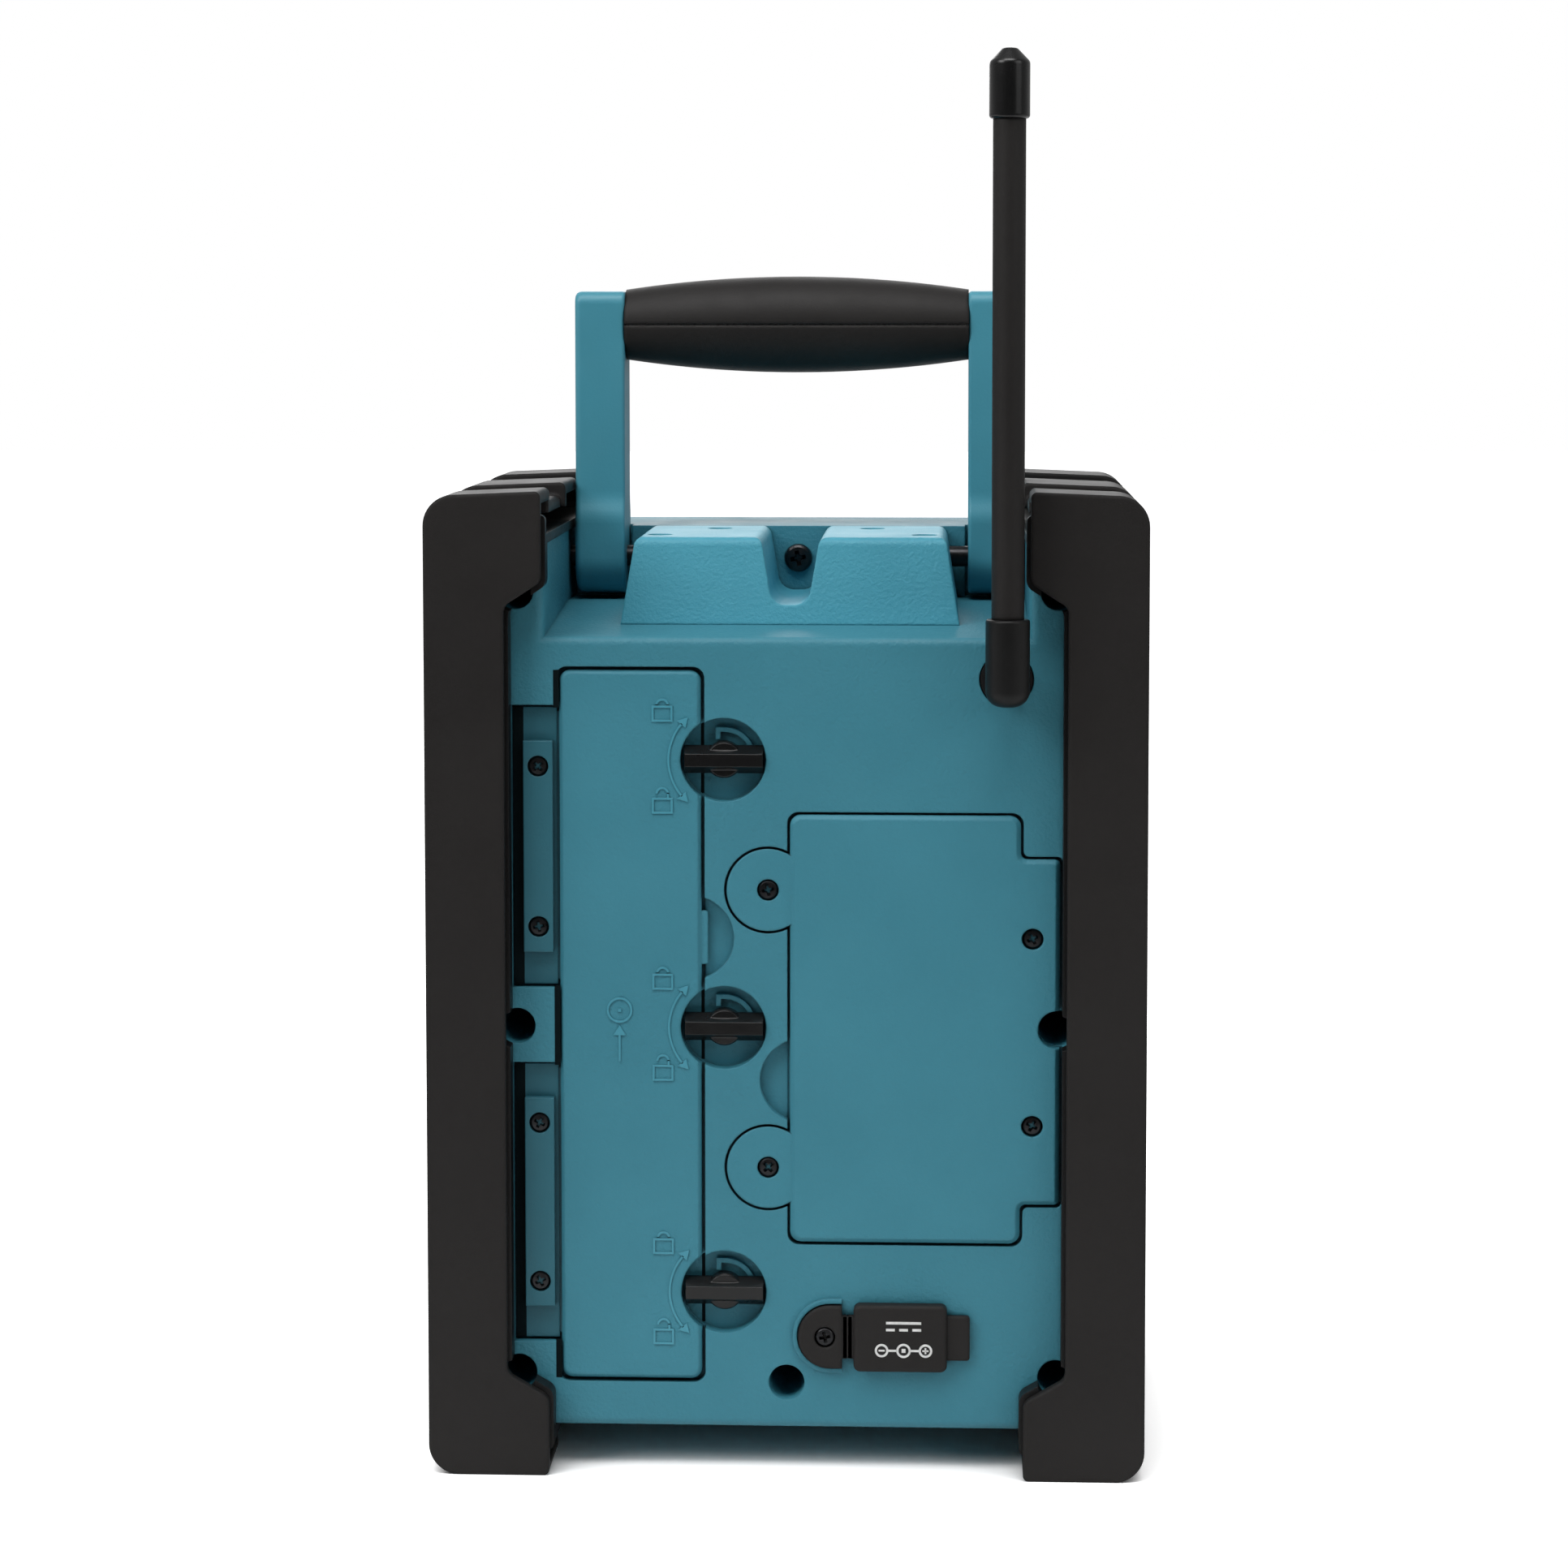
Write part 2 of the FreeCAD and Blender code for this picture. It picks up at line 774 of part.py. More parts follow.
def rear_case_cover_side(part):
    """Seat of the battery cover, power inlet and antenna seat."""
    gap = S.cover_gap
    seat = "cover_thick - cover_proud"
    part.pocket([cover_outline(gap)], seat, offset=REAR_FACE)
    x0, x1, z0, z1 = tub_inside()
    part.pocket([rectangle(x0, x1 - S.tub_lip, z0, z1)], "rear_wall", offset=REAR_FACE)
    ears = [ring(S.ear_side, z, S.ear_radius + gap) for z in (S.ear_upper, S.ear_lower)]
    part.pocket(ears, seat, offset=REAR_FACE)
    part.pocket([ring(S.cover_scoop_side, S.cover_scoop_height, S.scoop_radius)],
                "scoop_deep", offset=REAR_FACE)
    part.pocket([ring(S.inlet_side, S.inlet_height, S.inlet_radius)], "rear_wall",
                offset=REAR_FACE)
    part.pocket([ring(S.antenna_side, S.antenna_height, S.antenna_seat)], "rear_wall / 2",
                offset=REAR_FACE)
    part.pocket([ring(S.antenna_side, S.antenna_height, S.antenna_seat / 2 + S.pin_fit)],
                "rear_wall", offset=REAR_FACE)
    part.pad([anchor_rim()], "anchor_thick / 2", offset=f"{REAR_FACE} + anchor_thick / 2")


def anchor_rim():
    """U-shaped rim on the case around the flap's round end."""
    inner = S.anchor_radius + S.part_gap
    outer = inner + S.anchor_rim
    centre = S.anchor_near - S.anchor_radius
    height = S.inlet_height
    stop = S.anchor_far
    return [
        Part.Arc(flat(centre, height - outer), flat(centre + outer, height),
                 flat(centre, height + outer)),
        Part.LineSegment(flat(centre, height + outer), flat(stop, height + outer)),
        Part.LineSegment(flat(stop, height + outer), flat(stop, height + inner)),
        Part.LineSegment(flat(stop, height + inner), flat(centre, height + inner)),
        Part.Arc(flat(centre, height + inner), flat(centre + inner, height),
                 flat(centre, height - inner)),
        Part.LineSegment(flat(centre, height - inner), flat(stop, height - inner)),
        Part.LineSegment(flat(stop, height - inner), flat(stop, height - outer)),
        Part.LineSegment(flat(stop, height - outer), flat(centre, height - outer)),
    ]


def rear_case_top(part):
    """Pivot bores for the handle in the two shoulders."""
    for start in ("recess_width / 2 - 1", "-recess_width / 2 - case_wall * 2"):
        part.pocket([ring(S.pivot_depth, S.pivot_height, S.pin_radius)],
                    "case_wall * 2 + 1", "YZ_Plane", start)


def button_places():
    return [index * S.button_pitch for index in (-2, -1, 0, 1, 2)]


def front_case():
    part = Moulding("front_case")
    half = S.case_width / 2
    length = "guard_depth - 2 * case_inset - parting_depth"
    part.pad([rectangle(-half, half, S.case_bottom, S.case_top)], length, offset=PARTING)
    part.fillet("case_round * 2", lambda e: (
        level(e, 1, front_face()) and along(e, 0)))
    inner = half - S.case_wall
    hollow_top = S.recess_lip - S.recess_skin
    part.pocket([rectangle(-inner, inner, S.case_bottom + S.case_wall, hollow_top)],
                f"{length} - case_wall", offset=PARTING)
    roof = S.case_top - S.case_wall
    part.pocket([rectangle(-inner, inner, hollow_top - OVERCUT, roof)],
                f"{length} - case_wall - case_wall * 3", offset=f"{PARTING} - case_wall * 3")
    arm_inner = S.arm_outer - S.arm_thick - S.slot_clearance
    edge = S.recess_width / 2
    slots = [rectangle(side * arm_inner, side * edge, S.recess_floor, S.case_top + OVERCUT)
             for side in (-1, 1)]
    part.pocket(slots, "case_wall * 2", offset=PARTING)
    bosses = [ring(x, z, S.tunnel_radius + S.boss_wall) for x, z in tunnel_places()]
    part.pad(bosses, f"{length} - case_wall + part_gap", offset=PARTING)
    part.pocket([ring(x, z, S.screw_shank) for x, z in tunnel_places()], "screw_length",
                offset=PARTING)
    front_openings(part)
    part.publish()


def front_openings(part):
    """Speaker, display, volume and button openings in the front wall."""
    inside = f"{FRONT_FACE} + case_wall + 1"
    through = "case_wall + 2"
    part.pocket([ring(0.0, speaker_height(), S.speaker_opening)], through, offset=inside)
    wide = S.display_wide / 2
    tall = S.display_tall / 2
    window = rectangle(-wide, wide, display_height() - tall, display_height() + tall,
                       S.display_corner)
    part.pocket([window], through, offset=inside)
    part.pocket([ring(0.0, volume_height(), S.knob_shaft + S.part_gap)], through, offset=inside)
    gap = S.button_gap
    half_wide = S.button_wide / 2 + gap
    half_tall = S.button_tall / 2 + gap
    holes = [rectangle(x - half_wide, x + half_wide, button_height() - half_tall,
                       button_height() + half_tall, S.display_corner / 2)
             for x in button_places()]
    part.pocket(holes, through, offset=inside)


# Handle bracket, arms, grip and pins
def handle_bracket():
    """Tapered block between the arms, with a notch over the case screw."""
    part = Moulding("handle_bracket")
    foot = S.bracket_foot_width / 2
    top = S.bracket_top_width / 2
    rear = S.bracket_rear
    front = S.bracket_front
    lean = S.bracket_lean
    low = part.sketch([rectangle(-foot, foot, front, rear)], "XY_Plane", "recess_lip")
    high = part.sketch([rectangle(-top, top, front, rear - lean)], "XY_Plane", "case_top")
    loft = part.body.newObject("PartDesign::AdditiveLoft", "bracket_loft")
    loft.Profile = low
    loft.Sections = [high]
    loft.Ruled = True
    DOC.recompute()
    notch = S.notch_radius
    flare = S.notch_flare
    floor = S.notch_floor
    above = S.case_top + OVERCUT
    part.pocket([rounded([(-notch, floor, notch * 0.9), (notch, floor, notch * 0.9),
                          (flare, above, 0.0), (-flare, above, 0.0)])],
                "bracket_rear - bracket_front + 2", offset="bracket_rear + 1")
    part.fillet("bracket_round", lambda e: (
        level(e, 2, S.case_top) and not level(e, 1, front)))
    holes = [ring(side * S.bracket_hole_wide, S.bracket_hole_rear, S.bracket_hole)
             for side in (-1, 1)]
    holes += [ring(side * S.bracket_hole_close, S.bracket_hole_front, S.bracket_hole)
              for side in (-1, 1)]
    part.pocket(holes, "bracket_hole_depth", "XY_Plane", "case_top - bracket_hole_depth")
    for start in ("bracket_top_width / 2 - case_wall * 2",
                  "-bracket_top_width / 2 - case_wall * 2"):
        part.pocket([ring(S.pivot_depth, S.pivot_height, S.pin_radius)], "case_wall * 4",
                    "YZ_Plane", start)
    under = S.recess_lip - OVERCUT
    part.pocket([rounded([
        (rear + OVERCUT, under, 0.0),
        (front - OVERCUT, under, 0.0),
        (front - OVERCUT, S.recess_floor, 0.0),
        (rear_face() - S.recess_run, S.recess_floor, 0.0),
        (rear + OVERCUT, recess_floor_at(rear + OVERCUT), 0.0),
    ])], "bracket_foot_width + 2", "YZ_Plane", "-bracket_foot_width / 2 - 1")
    part.publish()


def recess_floor_at(depth):
    """Height of the sloping recess floor at a depth."""
    share = (rear_face() - depth) / S.recess_run
    return S.recess_lip + (S.recess_floor - S.recess_lip) * min(share, 1.0)


def bracket_screws():
    screws = []
    places = [(side * S.bracket_hole_wide, "bracket_hole_rear") for side in (-1, 1)]
    places += [(side * S.bracket_hole_close, "bracket_hole_front") for side in (-1, 1)]
    top = "case_top - bracket_hole_depth + screw_head_deep"
    under = "case_top - bracket_hole_depth"
    for index, (side, depth) in enumerate(places):
        head = drum(f"bracket_screw_{index}", "z", (str(side), depth), "screw_head", under, top)
        screws.append(head)
    publish(group("bracket_screw_group", screws), "bracket_screws")


def handle_arm(name, side):
    """Flat arm, round at its pivot, with a rounded outer top corner."""
    part = Moulding(name)
    half = S.arm_deep / 2
    middle = S.pivot_depth
    root = S.arm_root
    top = S.arm_top
    hip = S.pivot_height + root * 1.6
    outline = rounded([
        (middle - root, S.pivot_height - root, root * 0.98),
        (middle + root, S.pivot_height - root, root * 0.98),
        (middle + root, hip - root / 2, root),
        (middle + half, hip, root),
        (middle + half, top, S.arm_corner),
        (middle - half, top, S.arm_corner),
        (middle - half, hip, root),
        (middle - root, hip - root / 2, root),
    ])
    start = "arm_outer - arm_thick" if side > 0 else "-arm_outer"
    part.pad([outline], "arm_thick", "YZ_Plane", start)
    outer = side * S.arm_outer
    part.fillet("arm_corner / 2", lambda e: level(e, 0, outer))
    part.fillet("arm_corner / 4", lambda e: level(e, 0, side * (S.arm_outer - S.arm_thick)))
    part.pocket([ring(middle, S.pivot_height, S.pin_radius + S.pin_fit)], "arm_thick + 2",
                "YZ_Plane", f"{start} - 1")
    part.publish()


def handle_pins():
    length_in = "(bracket_top_width / 2 - case_wall)"
    length_out = "(recess_width / 2 + case_wall)"
    centre = ("pivot_depth", "pivot_height")
    right = drum("pin_right", "x", centre, "pin_radius", length_in, length_out)
    left = drum("pin_left", "x", centre, "pin_radius", f"-{length_out}", f"-{length_in}")
    publish(group("pin_group", [right, left]), "handle_pins")


def grip_half(name, upper):
    """Half of the barrel-shaped grip, split along its middle plane."""
    part = Moulding(name)
    half = S.arm_outer - S.arm_thick
    end = S.grip_end
    bulge = Part.Arc(flat(end, -half), flat(S.grip_middle, 0.0), flat(end, half))
    core = S.grip_core
    loop = [
        Part.LineSegment(flat(core, -half), flat(end, -half)),
        bulge,
        Part.LineSegment(flat(end, half), flat(core, half)),
        Part.LineSegment(flat(core, half), flat(core, -half)),
    ]
    sketch = part.sketch([loop], "XY_Plane", "0")
    feature = part.body.newObject("PartDesign::Revolution", f"{name}_turn")
    feature.Profile = sketch
    feature.ReferenceAxis = (sketch, ["V_Axis"])
    feature.Angle = 180.0
    feature.Reversed = upper
    DOC.recompute()
    shift = S.grip_line / 2 if upper else -S.grip_line / 2
    quarter = FreeCAD.Rotation(FreeCAD.Vector(0, 0, 1), 90)
    place = FreeCAD.Vector(0, S.pivot_depth, S.grip_height + shift)
    part.body.Placement = FreeCAD.Placement(place, quarter)
    DOC.recompute()
    part.publish()


def handle_core():
    half = "(arm_outer - arm_thick)"
    core = drum("core_bar", "x", ("pivot_depth", "grip_height"),
                "grip_core - grip_line", f"-{half}", half)
    publish(core, "handle_core")


# Antenna
def antenna():
    centre = ("antenna_side", "antenna_height")
    bush = drum("bush_flange", "y", centre, "antenna_seat - part_gap",
                f"{REAR_FACE} - rear_wall / 2", f"{REAR_FACE} - rear_wall / 2 + clip_thick")
    bore = drum("bush_bore", "y", centre, "pin_radius + pin_fit",
                f"{REAR_FACE} - rear_wall", REAR_FACE)
    publish(cut("bush_cut", bush, bore), "antenna_bush")

    knuckle = Moulding("antenna_knuckle")
    radius = S.sleeve_radius
    knuckle.turn([rounded([
        (0.0, S.sleeve_bottom, 0.0),
        (radius, S.sleeve_bottom, radius * 0.75),
        (radius, S.sleeve_top, 0.6),
        (0.0, S.sleeve_top, 0.0),
    ])])
    height = S.antenna_height
    to_face = f"antenna_depth - {REAR_FACE}"
    knuckle.pad([ring(0.0, height, radius * 0.9)], to_face)
    knuckle.pad([ring(0.0, height, S.antenna_seat - S.part_gap)],
                "rear_wall / 2 - clip_thick - part_gap", offset=f"{REAR_FACE} - antenna_depth")
    knuckle.pad([ring(0.0, height, S.pin_radius)], f"{to_face} + rear_wall")
    knuckle.body.Placement.Base = FreeCAD.Vector(S.antenna_side, S.antenna_depth, 0)
    DOC.recompute()
    knuckle.publish()

    across = ("antenna_side", "antenna_depth")
    publish(drum("whip", "z", across, "whip_radius", "sleeve_top", "cap_bottom"), "antenna_rod")

    cap = Moulding("antenna_cap")
    radius = S.cap_radius
    shoulder = S.cap_shoulder
    loop = rounded([
        (0.0, S.cap_bottom, 0.0),
        (radius, S.cap_bottom, 0.8),
        (radius, shoulder, 1.5),
        (S.tip_radius, S.antenna_tip, 1.0),
        (0.0, S.antenna_tip, 0.0),
    ])
    cap.turn([loop])
    cap.body.Placement.Base = FreeCAD.Vector(S.antenna_side, S.antenna_depth, 0)
    DOC.recompute()
    cap.publish()


# Socket bay and battery tub
def bay_inside():
    """Inside of the socket bay, between the latch dishes and the hinge: X and Z limits."""
    near = S.knob_side + S.knob_dish + S.latch_notch + S.part_gap * 2
    return near, S.door_hinge_edge - S.bay_inset, S.bay_low, S.bay_high


def socket_bay():
    """Deep tray behind the door, with the audio socket on its floor."""
    part = Moulding("socket_bay")
    x0, x1, z0, z1 = bay_inside()
    wall = S.tub_wall
    rear = f"{REAR_FACE} - rear_wall"
    part.pad([rectangle(x0 - wall, x1 + wall, z0 - wall, z1 + wall, wall)],
             "bay_deep + tub_wall", offset=rear)
    part.pocket([rectangle(x0, x1, z0, z1)], "bay_deep", offset=rear)
    part.publish()


def aux_socket():
    """Audio socket that stands on the bay's floor and faces the rear."""
    part = Moulding("aux_socket")
    half = S.aux_block / 2
    top = f"{REAR_FACE} - rear_wall - bay_deep + aux_block"
    part.pad([rectangle(S.aux_side - half, S.aux_side + half, S.aux_height - half,
                        S.aux_height + half, half / 4)], "aux_block", offset=top)
    part.pocket([ring(S.aux_side, S.aux_height, S.aux_radius)], "aux_bore", offset=top)
    part.publish()


def tub_inside():
    """Inside of the battery tub, for cells that lie across it: X and Z limits."""
    length = S.cell_length + 2 * S.contact_thick + S.cell_play
    half = (S.cell_radius + S.cell_gap / 2) * S.cell_count
    return S.tub_near - length, S.tub_near, S.tub_middle - half, S.tub_middle + half


def battery_tub():
    part = Moulding("battery_tub")
    x0, x1, z0, z1 = tub_inside()
    wall = S.tub_wall
    rear = f"{REAR_FACE} - rear_wall"
    deep = "cell_radius * 2 + cell_gap * 2"
    part.pad([rectangle(x0 - wall, x1 + wall, z0 - wall, z1 + wall, wall)],
             f"{deep} + tub_wall", offset=rear)
    part.pocket([rectangle(x0, x1, z0, z1)], deep, offset=rear)
    part.publish()


def cell_heights():
    low = tub_inside()[2]
    pitch = 2 * S.cell_radius + S.cell_gap
    return [low + (index + 0.5) * pitch for index in range(int(S.cell_count))]


CELL_DEPTH = f"({REAR_FACE} - rear_wall - cell_gap - cell_radius)"


def battery_cells():
    """Cells side by side, every second one turned round."""
    x0, x1 = tub_inside()[:2]
    room = S.contact_thick + S.cell_play / 2
    cells = []
    for index, height in enumerate(cell_heights()):
        centre = (CELL_DEPTH, str(height))
        flip = index % 2
        nub = S.cell_nub
        low = x0 + room + (nub if flip else 0.0)
        high = x1 - room - (0.0 if flip else nub)
        nub_low, nub_high = (x0 + room, low) if flip else (high, x1 - room)
        can = drum(f"cell_can_{index}", "x", centre, "cell_radius - cell_gap / 2",
                   str(low), str(high))
        tip = drum(f"cell_nub_{index}", "x", centre, "cell_radius / 2.7",
                   str(nub_low), str(nub_high))
        cells.append(fuse(f"cell_{index}", [can, tip]))
    publish(group("cell_group", cells), "battery_cells")


def battery_contacts():
    """Flat contact plates at both ends of each cell."""
    x0, x1 = tub_inside()[:2]
    plates = []
    for index, height in enumerate(cell_heights()):
        for word, low in (("low", x0), ("high", x1 - S.contact_thick)):
            plates.append(block(f"contact_{word}_{index}", (str(low), f"{low} + contact_thick"),
                                (f"{CELL_DEPTH} - cell_radius * 0.7",
                                 f"{CELL_DEPTH} + cell_radius * 0.7"),
                                (f"{height} - cell_radius * 0.8",
                                 f"{height} + cell_radius * 0.8")))
    publish(group("contact_group", plates), "battery_contacts")


def bay_door():
    """Door panel with notches round the latch knobs, a catch tab and a stiffening rim."""
    part = Moulding("bay_door")
    part.pad([door_opening(0.0)], "door_thick", offset=REAR_FACE)
    part.chamfer("door_gap", lambda e: level(e, 1, rear_face()))
    part.pad([rectangle(S.door_free_edge - S.catch_reach, S.door_free_edge + S.catch_reach,
                        S.catch_low, S.catch_high, S.catch_reach / 3)],
             "door_thick / 2", offset=f"{REAR_FACE} - door_gap")
    part.pocket([ring(x, z, S.knob_dish + S.part_gap) for x, z in door_notch_places()],
                "door_thick + 2", offset=f"{REAR_FACE} + 1")
    x0, x1, z0, z1 = bay_inside()
    inset = x0 + S.part_gap
    rim = rectangle(inset, x1 - S.part_gap, z0 + S.part_gap, z1 - S.part_gap, S.door_corner)
    wall = S.tub_wall
    hole = rectangle(inset + wall, x1 - S.part_gap - wall, z0 + S.part_gap + wall,
                     z1 - S.part_gap - wall, S.door_corner - wall)
    part.pad([rim, hole], "door_thick / 2", offset=f"{REAR_FACE} - door_thick")
    part.publish()


def hinge_parts():
    """Flexible hinge straps, the bars that clamp them and their screws."""
    straps = []
    screws = []
    seat = f"{REAR_FACE} - hinge_deep"
    for word in ("upper", "lower"):
        low = f"hinge_{word}_low"
        strap = block(f"strap_{word}",
                      ("door_hinge_edge + door_rest_gap * 2", "hinge_edge - part_gap"),
                      (seat, f"{seat} + strap_thick"),
                      (f"{low} + part_gap * 2", f"{low} + hinge_length - part_gap * 2"))
        straps.append(strap)
        bar_low = f"{low} + clamp_offset"
        bar = block(f"bar_{word}", ("clamp_near", "clamp_near + clamp_width"),
                    (f"{seat} + strap_thick", f"{REAR_FACE} + part_gap"),
                    (bar_low, f"{bar_low} + clamp_length"))
        recesses = []
        for place, end in enumerate((f"{bar_low} + clamp_screw_inset",
                                     f"{bar_low} + clamp_length - clamp_screw_inset")):
            centre = ("clamp_near + clamp_width / 2", end)
            recesses.append(drum(f"bar_sink_{word}_{place}", "y", centre, "screw_head",
                                 f"{REAR_FACE} - part_gap * 2", f"{REAR_FACE} + 1"))
            cap = drum(f"clamp_screw_{word}_{place}", "y", centre, "screw_head - pin_fit",
                       f"{REAR_FACE} - part_gap * 2", f"{REAR_FACE} + pin_fit")
            screws.append(cap)
        publish(cut(f"bar_cut_{word}", bar, fuse(f"bar_sinks_{word}", recesses)),
                f"hinge_clamp_{word}")
    publish(group("strap_group", straps), "hinge_straps")
    publish(group("clamp_screw_group", screws), "hinge_clamp_screws")


def latch_knob(name, height):
    """Quarter-turn knob: bar across a round hub, on a shaft through the rear wall."""
    part = Moulding(name)
    x = S.knob_side
    z = getattr(S, height)
    half = S.knob_length / 2
    wide = S.knob_width / 2
    base = f"{REAR_FACE} - knob_dish_deep + knob_lift"
    part.pad([rectangle(x - half, x + half, z - wide, z + wide, wide / 3)], "knob_head",
             offset=f"{base} + rib_rise + knob_head")
    part.chamfer("knob_width / 12", edge_top)
    part.pad([ring(x, z, S.knob_hub)], "knob_head * 0.6 + rib_rise",
             offset=f"{base} + rib_rise + knob_head * 0.6")
    part.pad([ring(x, z, S.knob_shaft)], "rear_wall - knob_dish_deep + knob_lift + part_gap * 2",
             offset=base)
    part.publish()


def edge_top(edge):
    lift = S.knob_lift + S.rib_rise + S.knob_head - S.knob_dish_deep
    return level(edge, 1, rear_face() + lift)


def latch_clip(name, height):
    """Clip behind the rear wall that keeps a knob's shaft in its bore."""
    rear = f"{REAR_FACE} - rear_wall - part_gap"
    plate = block(f"{name}_plate",
                  ("knob_side - clip_width / 2", "knob_side + clip_width / 2"),
                  (f"{rear} - clip_thick", rear),
                  (f"{height} - clip_length / 2", f"{height} + clip_length / 2"))
    hub = drum(f"{name}_hole", "y", ("knob_side", height), "knob_shaft",
               f"{rear} - part_gap", f"{rear} + part_gap")
    publish(cut(f"{name}_cut", plate, hub), name)


# Battery cover
def battery_cover():
    part = Moulding("battery_cover")
    rear = f"{REAR_FACE} + cover_proud"
    part.pad([cover_outline(0.0)], "cover_thick", offset=rear)
    top = rear_face() + S.cover_proud
    part.chamfer("cover_chamfer", lambda e: level(e, 1, top))
    part.pad([ring(S.ear_side, z, S.ear_radius) for z in (S.ear_upper, S.ear_lower)],
             "cover_thick - cover_proud", offset=REAR_FACE)
    part.pocket([ring(-S.tunnel_side, S.tunnel_middle, S.tunnel_radius + S.part_gap)],
                "cover_thick + 2", offset=f"{rear} + 1")
    holes = [ring(S.ear_side, z, S.screw_head + S.pin_fit) for z in (S.ear_upper, S.ear_lower)]
    holes += [ring(S.wing_screw_side, z, S.screw_head + S.pin_fit)
              for z in (S.wing_screw_upper, S.wing_screw_lower)]
    part.pocket(holes, "cover_thick / 2", offset=rear)
    part.publish()


def battery_cover_screws():
    places = [("ear_side", "ear_upper"), ("ear_side", "ear_lower"),
              ("wing_screw_side", "wing_screw_upper"), ("wing_screw_side", "wing_screw_lower")]
    screws = []
    floor = f"({REAR_FACE} + cover_proud - cover_thick / 2)"
    for index, (side, height) in enumerate(places):
        screws.append(drum(f"cover_screw_{index}", "y", (side, height), "screw_head",
                           floor, f"{floor} + screw_head_deep / 2"))
    publish(group("cover_screw_group", screws), "battery_cover_screws")


# Power inlet
def power_inlet():
    depth = f"{REAR_FACE} - flap_plug_deep - part_gap"
    centre = ("inlet_side", "inlet_height")
    body = drum("jack_body", "y", centre, "jack_radius", f"{REAR_FACE} - rear_wall * 2.5", depth)
    bore = drum("jack_bore_cut", "y", centre, "jack_bore", f"{REAR_FACE} - rear_wall * 2", depth)
    pin = drum("jack_pin_rod", "y", centre, "jack_pin", f"{REAR_FACE} - rear_wall * 2.1",
               f"{depth} - 1")
    flange = block("jack_flange", ("inlet_side - jack_radius - jack_flange",
                                   "inlet_side + jack_radius + jack_flange"),
                   (f"{REAR_FACE} - rear_wall - jack_flange", f"{REAR_FACE} - rear_wall"),
                   ("inlet_height - jack_radius - jack_flange",
                    "inlet_height + jack_radius + jack_flange"))
    shell = cut("jack_shell", fuse("jack_outer", [body, flange]), bore)
    publish(fuse("jack_whole", [shell, pin]), "power_jack")

    flap = Moulding("inlet_flap")
    middle = S.inlet_height
    tall = S.flap_tall / 2
    tab = S.flap_tab_tall / 2
    rear = f"{REAR_FACE} + flap_thick + pin_fit"
    corner = S.flap_corner
    flap.pad([rectangle(S.flap_far, S.flap_near, middle - tall, middle + tall, corner)],
             "flap_thick", offset=rear)
    face = rear_face() + S.flap_thick + S.pin_fit
    flap.fillet("flap_corner / 2", lambda e: level(e, 1, face))
    flap.pad([rectangle(S.flap_far - S.flap_tab, S.flap_far + corner, middle - tab,
                        middle + tab, corner / 2)],
             "flap_thick / 2", offset=f"{REAR_FACE} + flap_thick * 0.6")
    flap.pad([rectangle(S.flap_near - corner, S.flap_hinge - S.part_gap / 2,
                        middle - S.strap_tall / 2, middle + S.strap_tall / 2)],
             "flap_thick / 2", offset=f"{REAR_FACE} + flap_thick * 0.6")
    flap.pad([ring(S.inlet_side, middle, S.flap_plug)], "flap_plug_deep + flap_thick / 2",
             offset=f"{REAR_FACE} + flap_thick / 2")
    flap.publish()

    anchor = Moulding("flap_anchor")
    radius = S.anchor_radius
    centre = S.anchor_near - radius
    anchor.pad([[
        Part.Arc(flat(centre, middle - radius), flat(centre + radius, middle),
                 flat(centre, middle + radius)),
        Part.LineSegment(flat(centre, middle + radius), flat(S.anchor_far, middle + radius)),
        Part.LineSegment(flat(S.anchor_far, middle + radius), flat(S.anchor_far, middle - radius)),
        Part.LineSegment(flat(S.anchor_far, middle - radius), flat(centre, middle - radius)),
    ]], "anchor_thick", offset=f"{REAR_FACE} + anchor_thick")
    anchor.pad([rectangle(S.flap_hinge + S.part_gap / 2, S.anchor_far + S.part_gap,
                          middle - S.strap_tall / 2, middle + S.strap_tall / 2)],
               "flap_thick / 2", offset=f"{REAR_FACE} + flap_thick * 0.6")
    anchor.pocket([ring(S.anchor_screw, middle, S.screw_head)], "anchor_thick / 2",
                  offset=f"{REAR_FACE} + anchor_thick")
    anchor.publish()
    publish(drum("anchor_screw_head", "y", ("anchor_screw", "inlet_height"),
                 "screw_head - pin_fit", f"{REAR_FACE} + anchor_thick / 2",
                 f"{REAR_FACE} + anchor_thick"), "flap_screw")


# Front panel pieces
def hexagon(x, y, radius):
    corners = [(x + radius * math.cos(math.radians(60 * turn)),
                y + radius * math.sin(math.radians(60 * turn)), 0.0) for turn in range(6)]
    return rounded(corners)


def grille_cells():
    """Honeycomb of hexagonal holes, row by row, round the speaker's centre."""
    pitch = S.grille_cell * math.sqrt(3) + S.grille_bar
    rings = int(S.grille_rings)
    cells = []
    for row in range(-rings, rings + 1):
        for column in range(-rings, rings + 1):
            if abs(row + column) > rings:
                continue
            x = pitch * (column * math.sqrt(3) / 2)
            z = speaker_height() + pitch * (row + column / 2)
            cells.append(hexagon(x, z, S.grille_cell))
    return cells


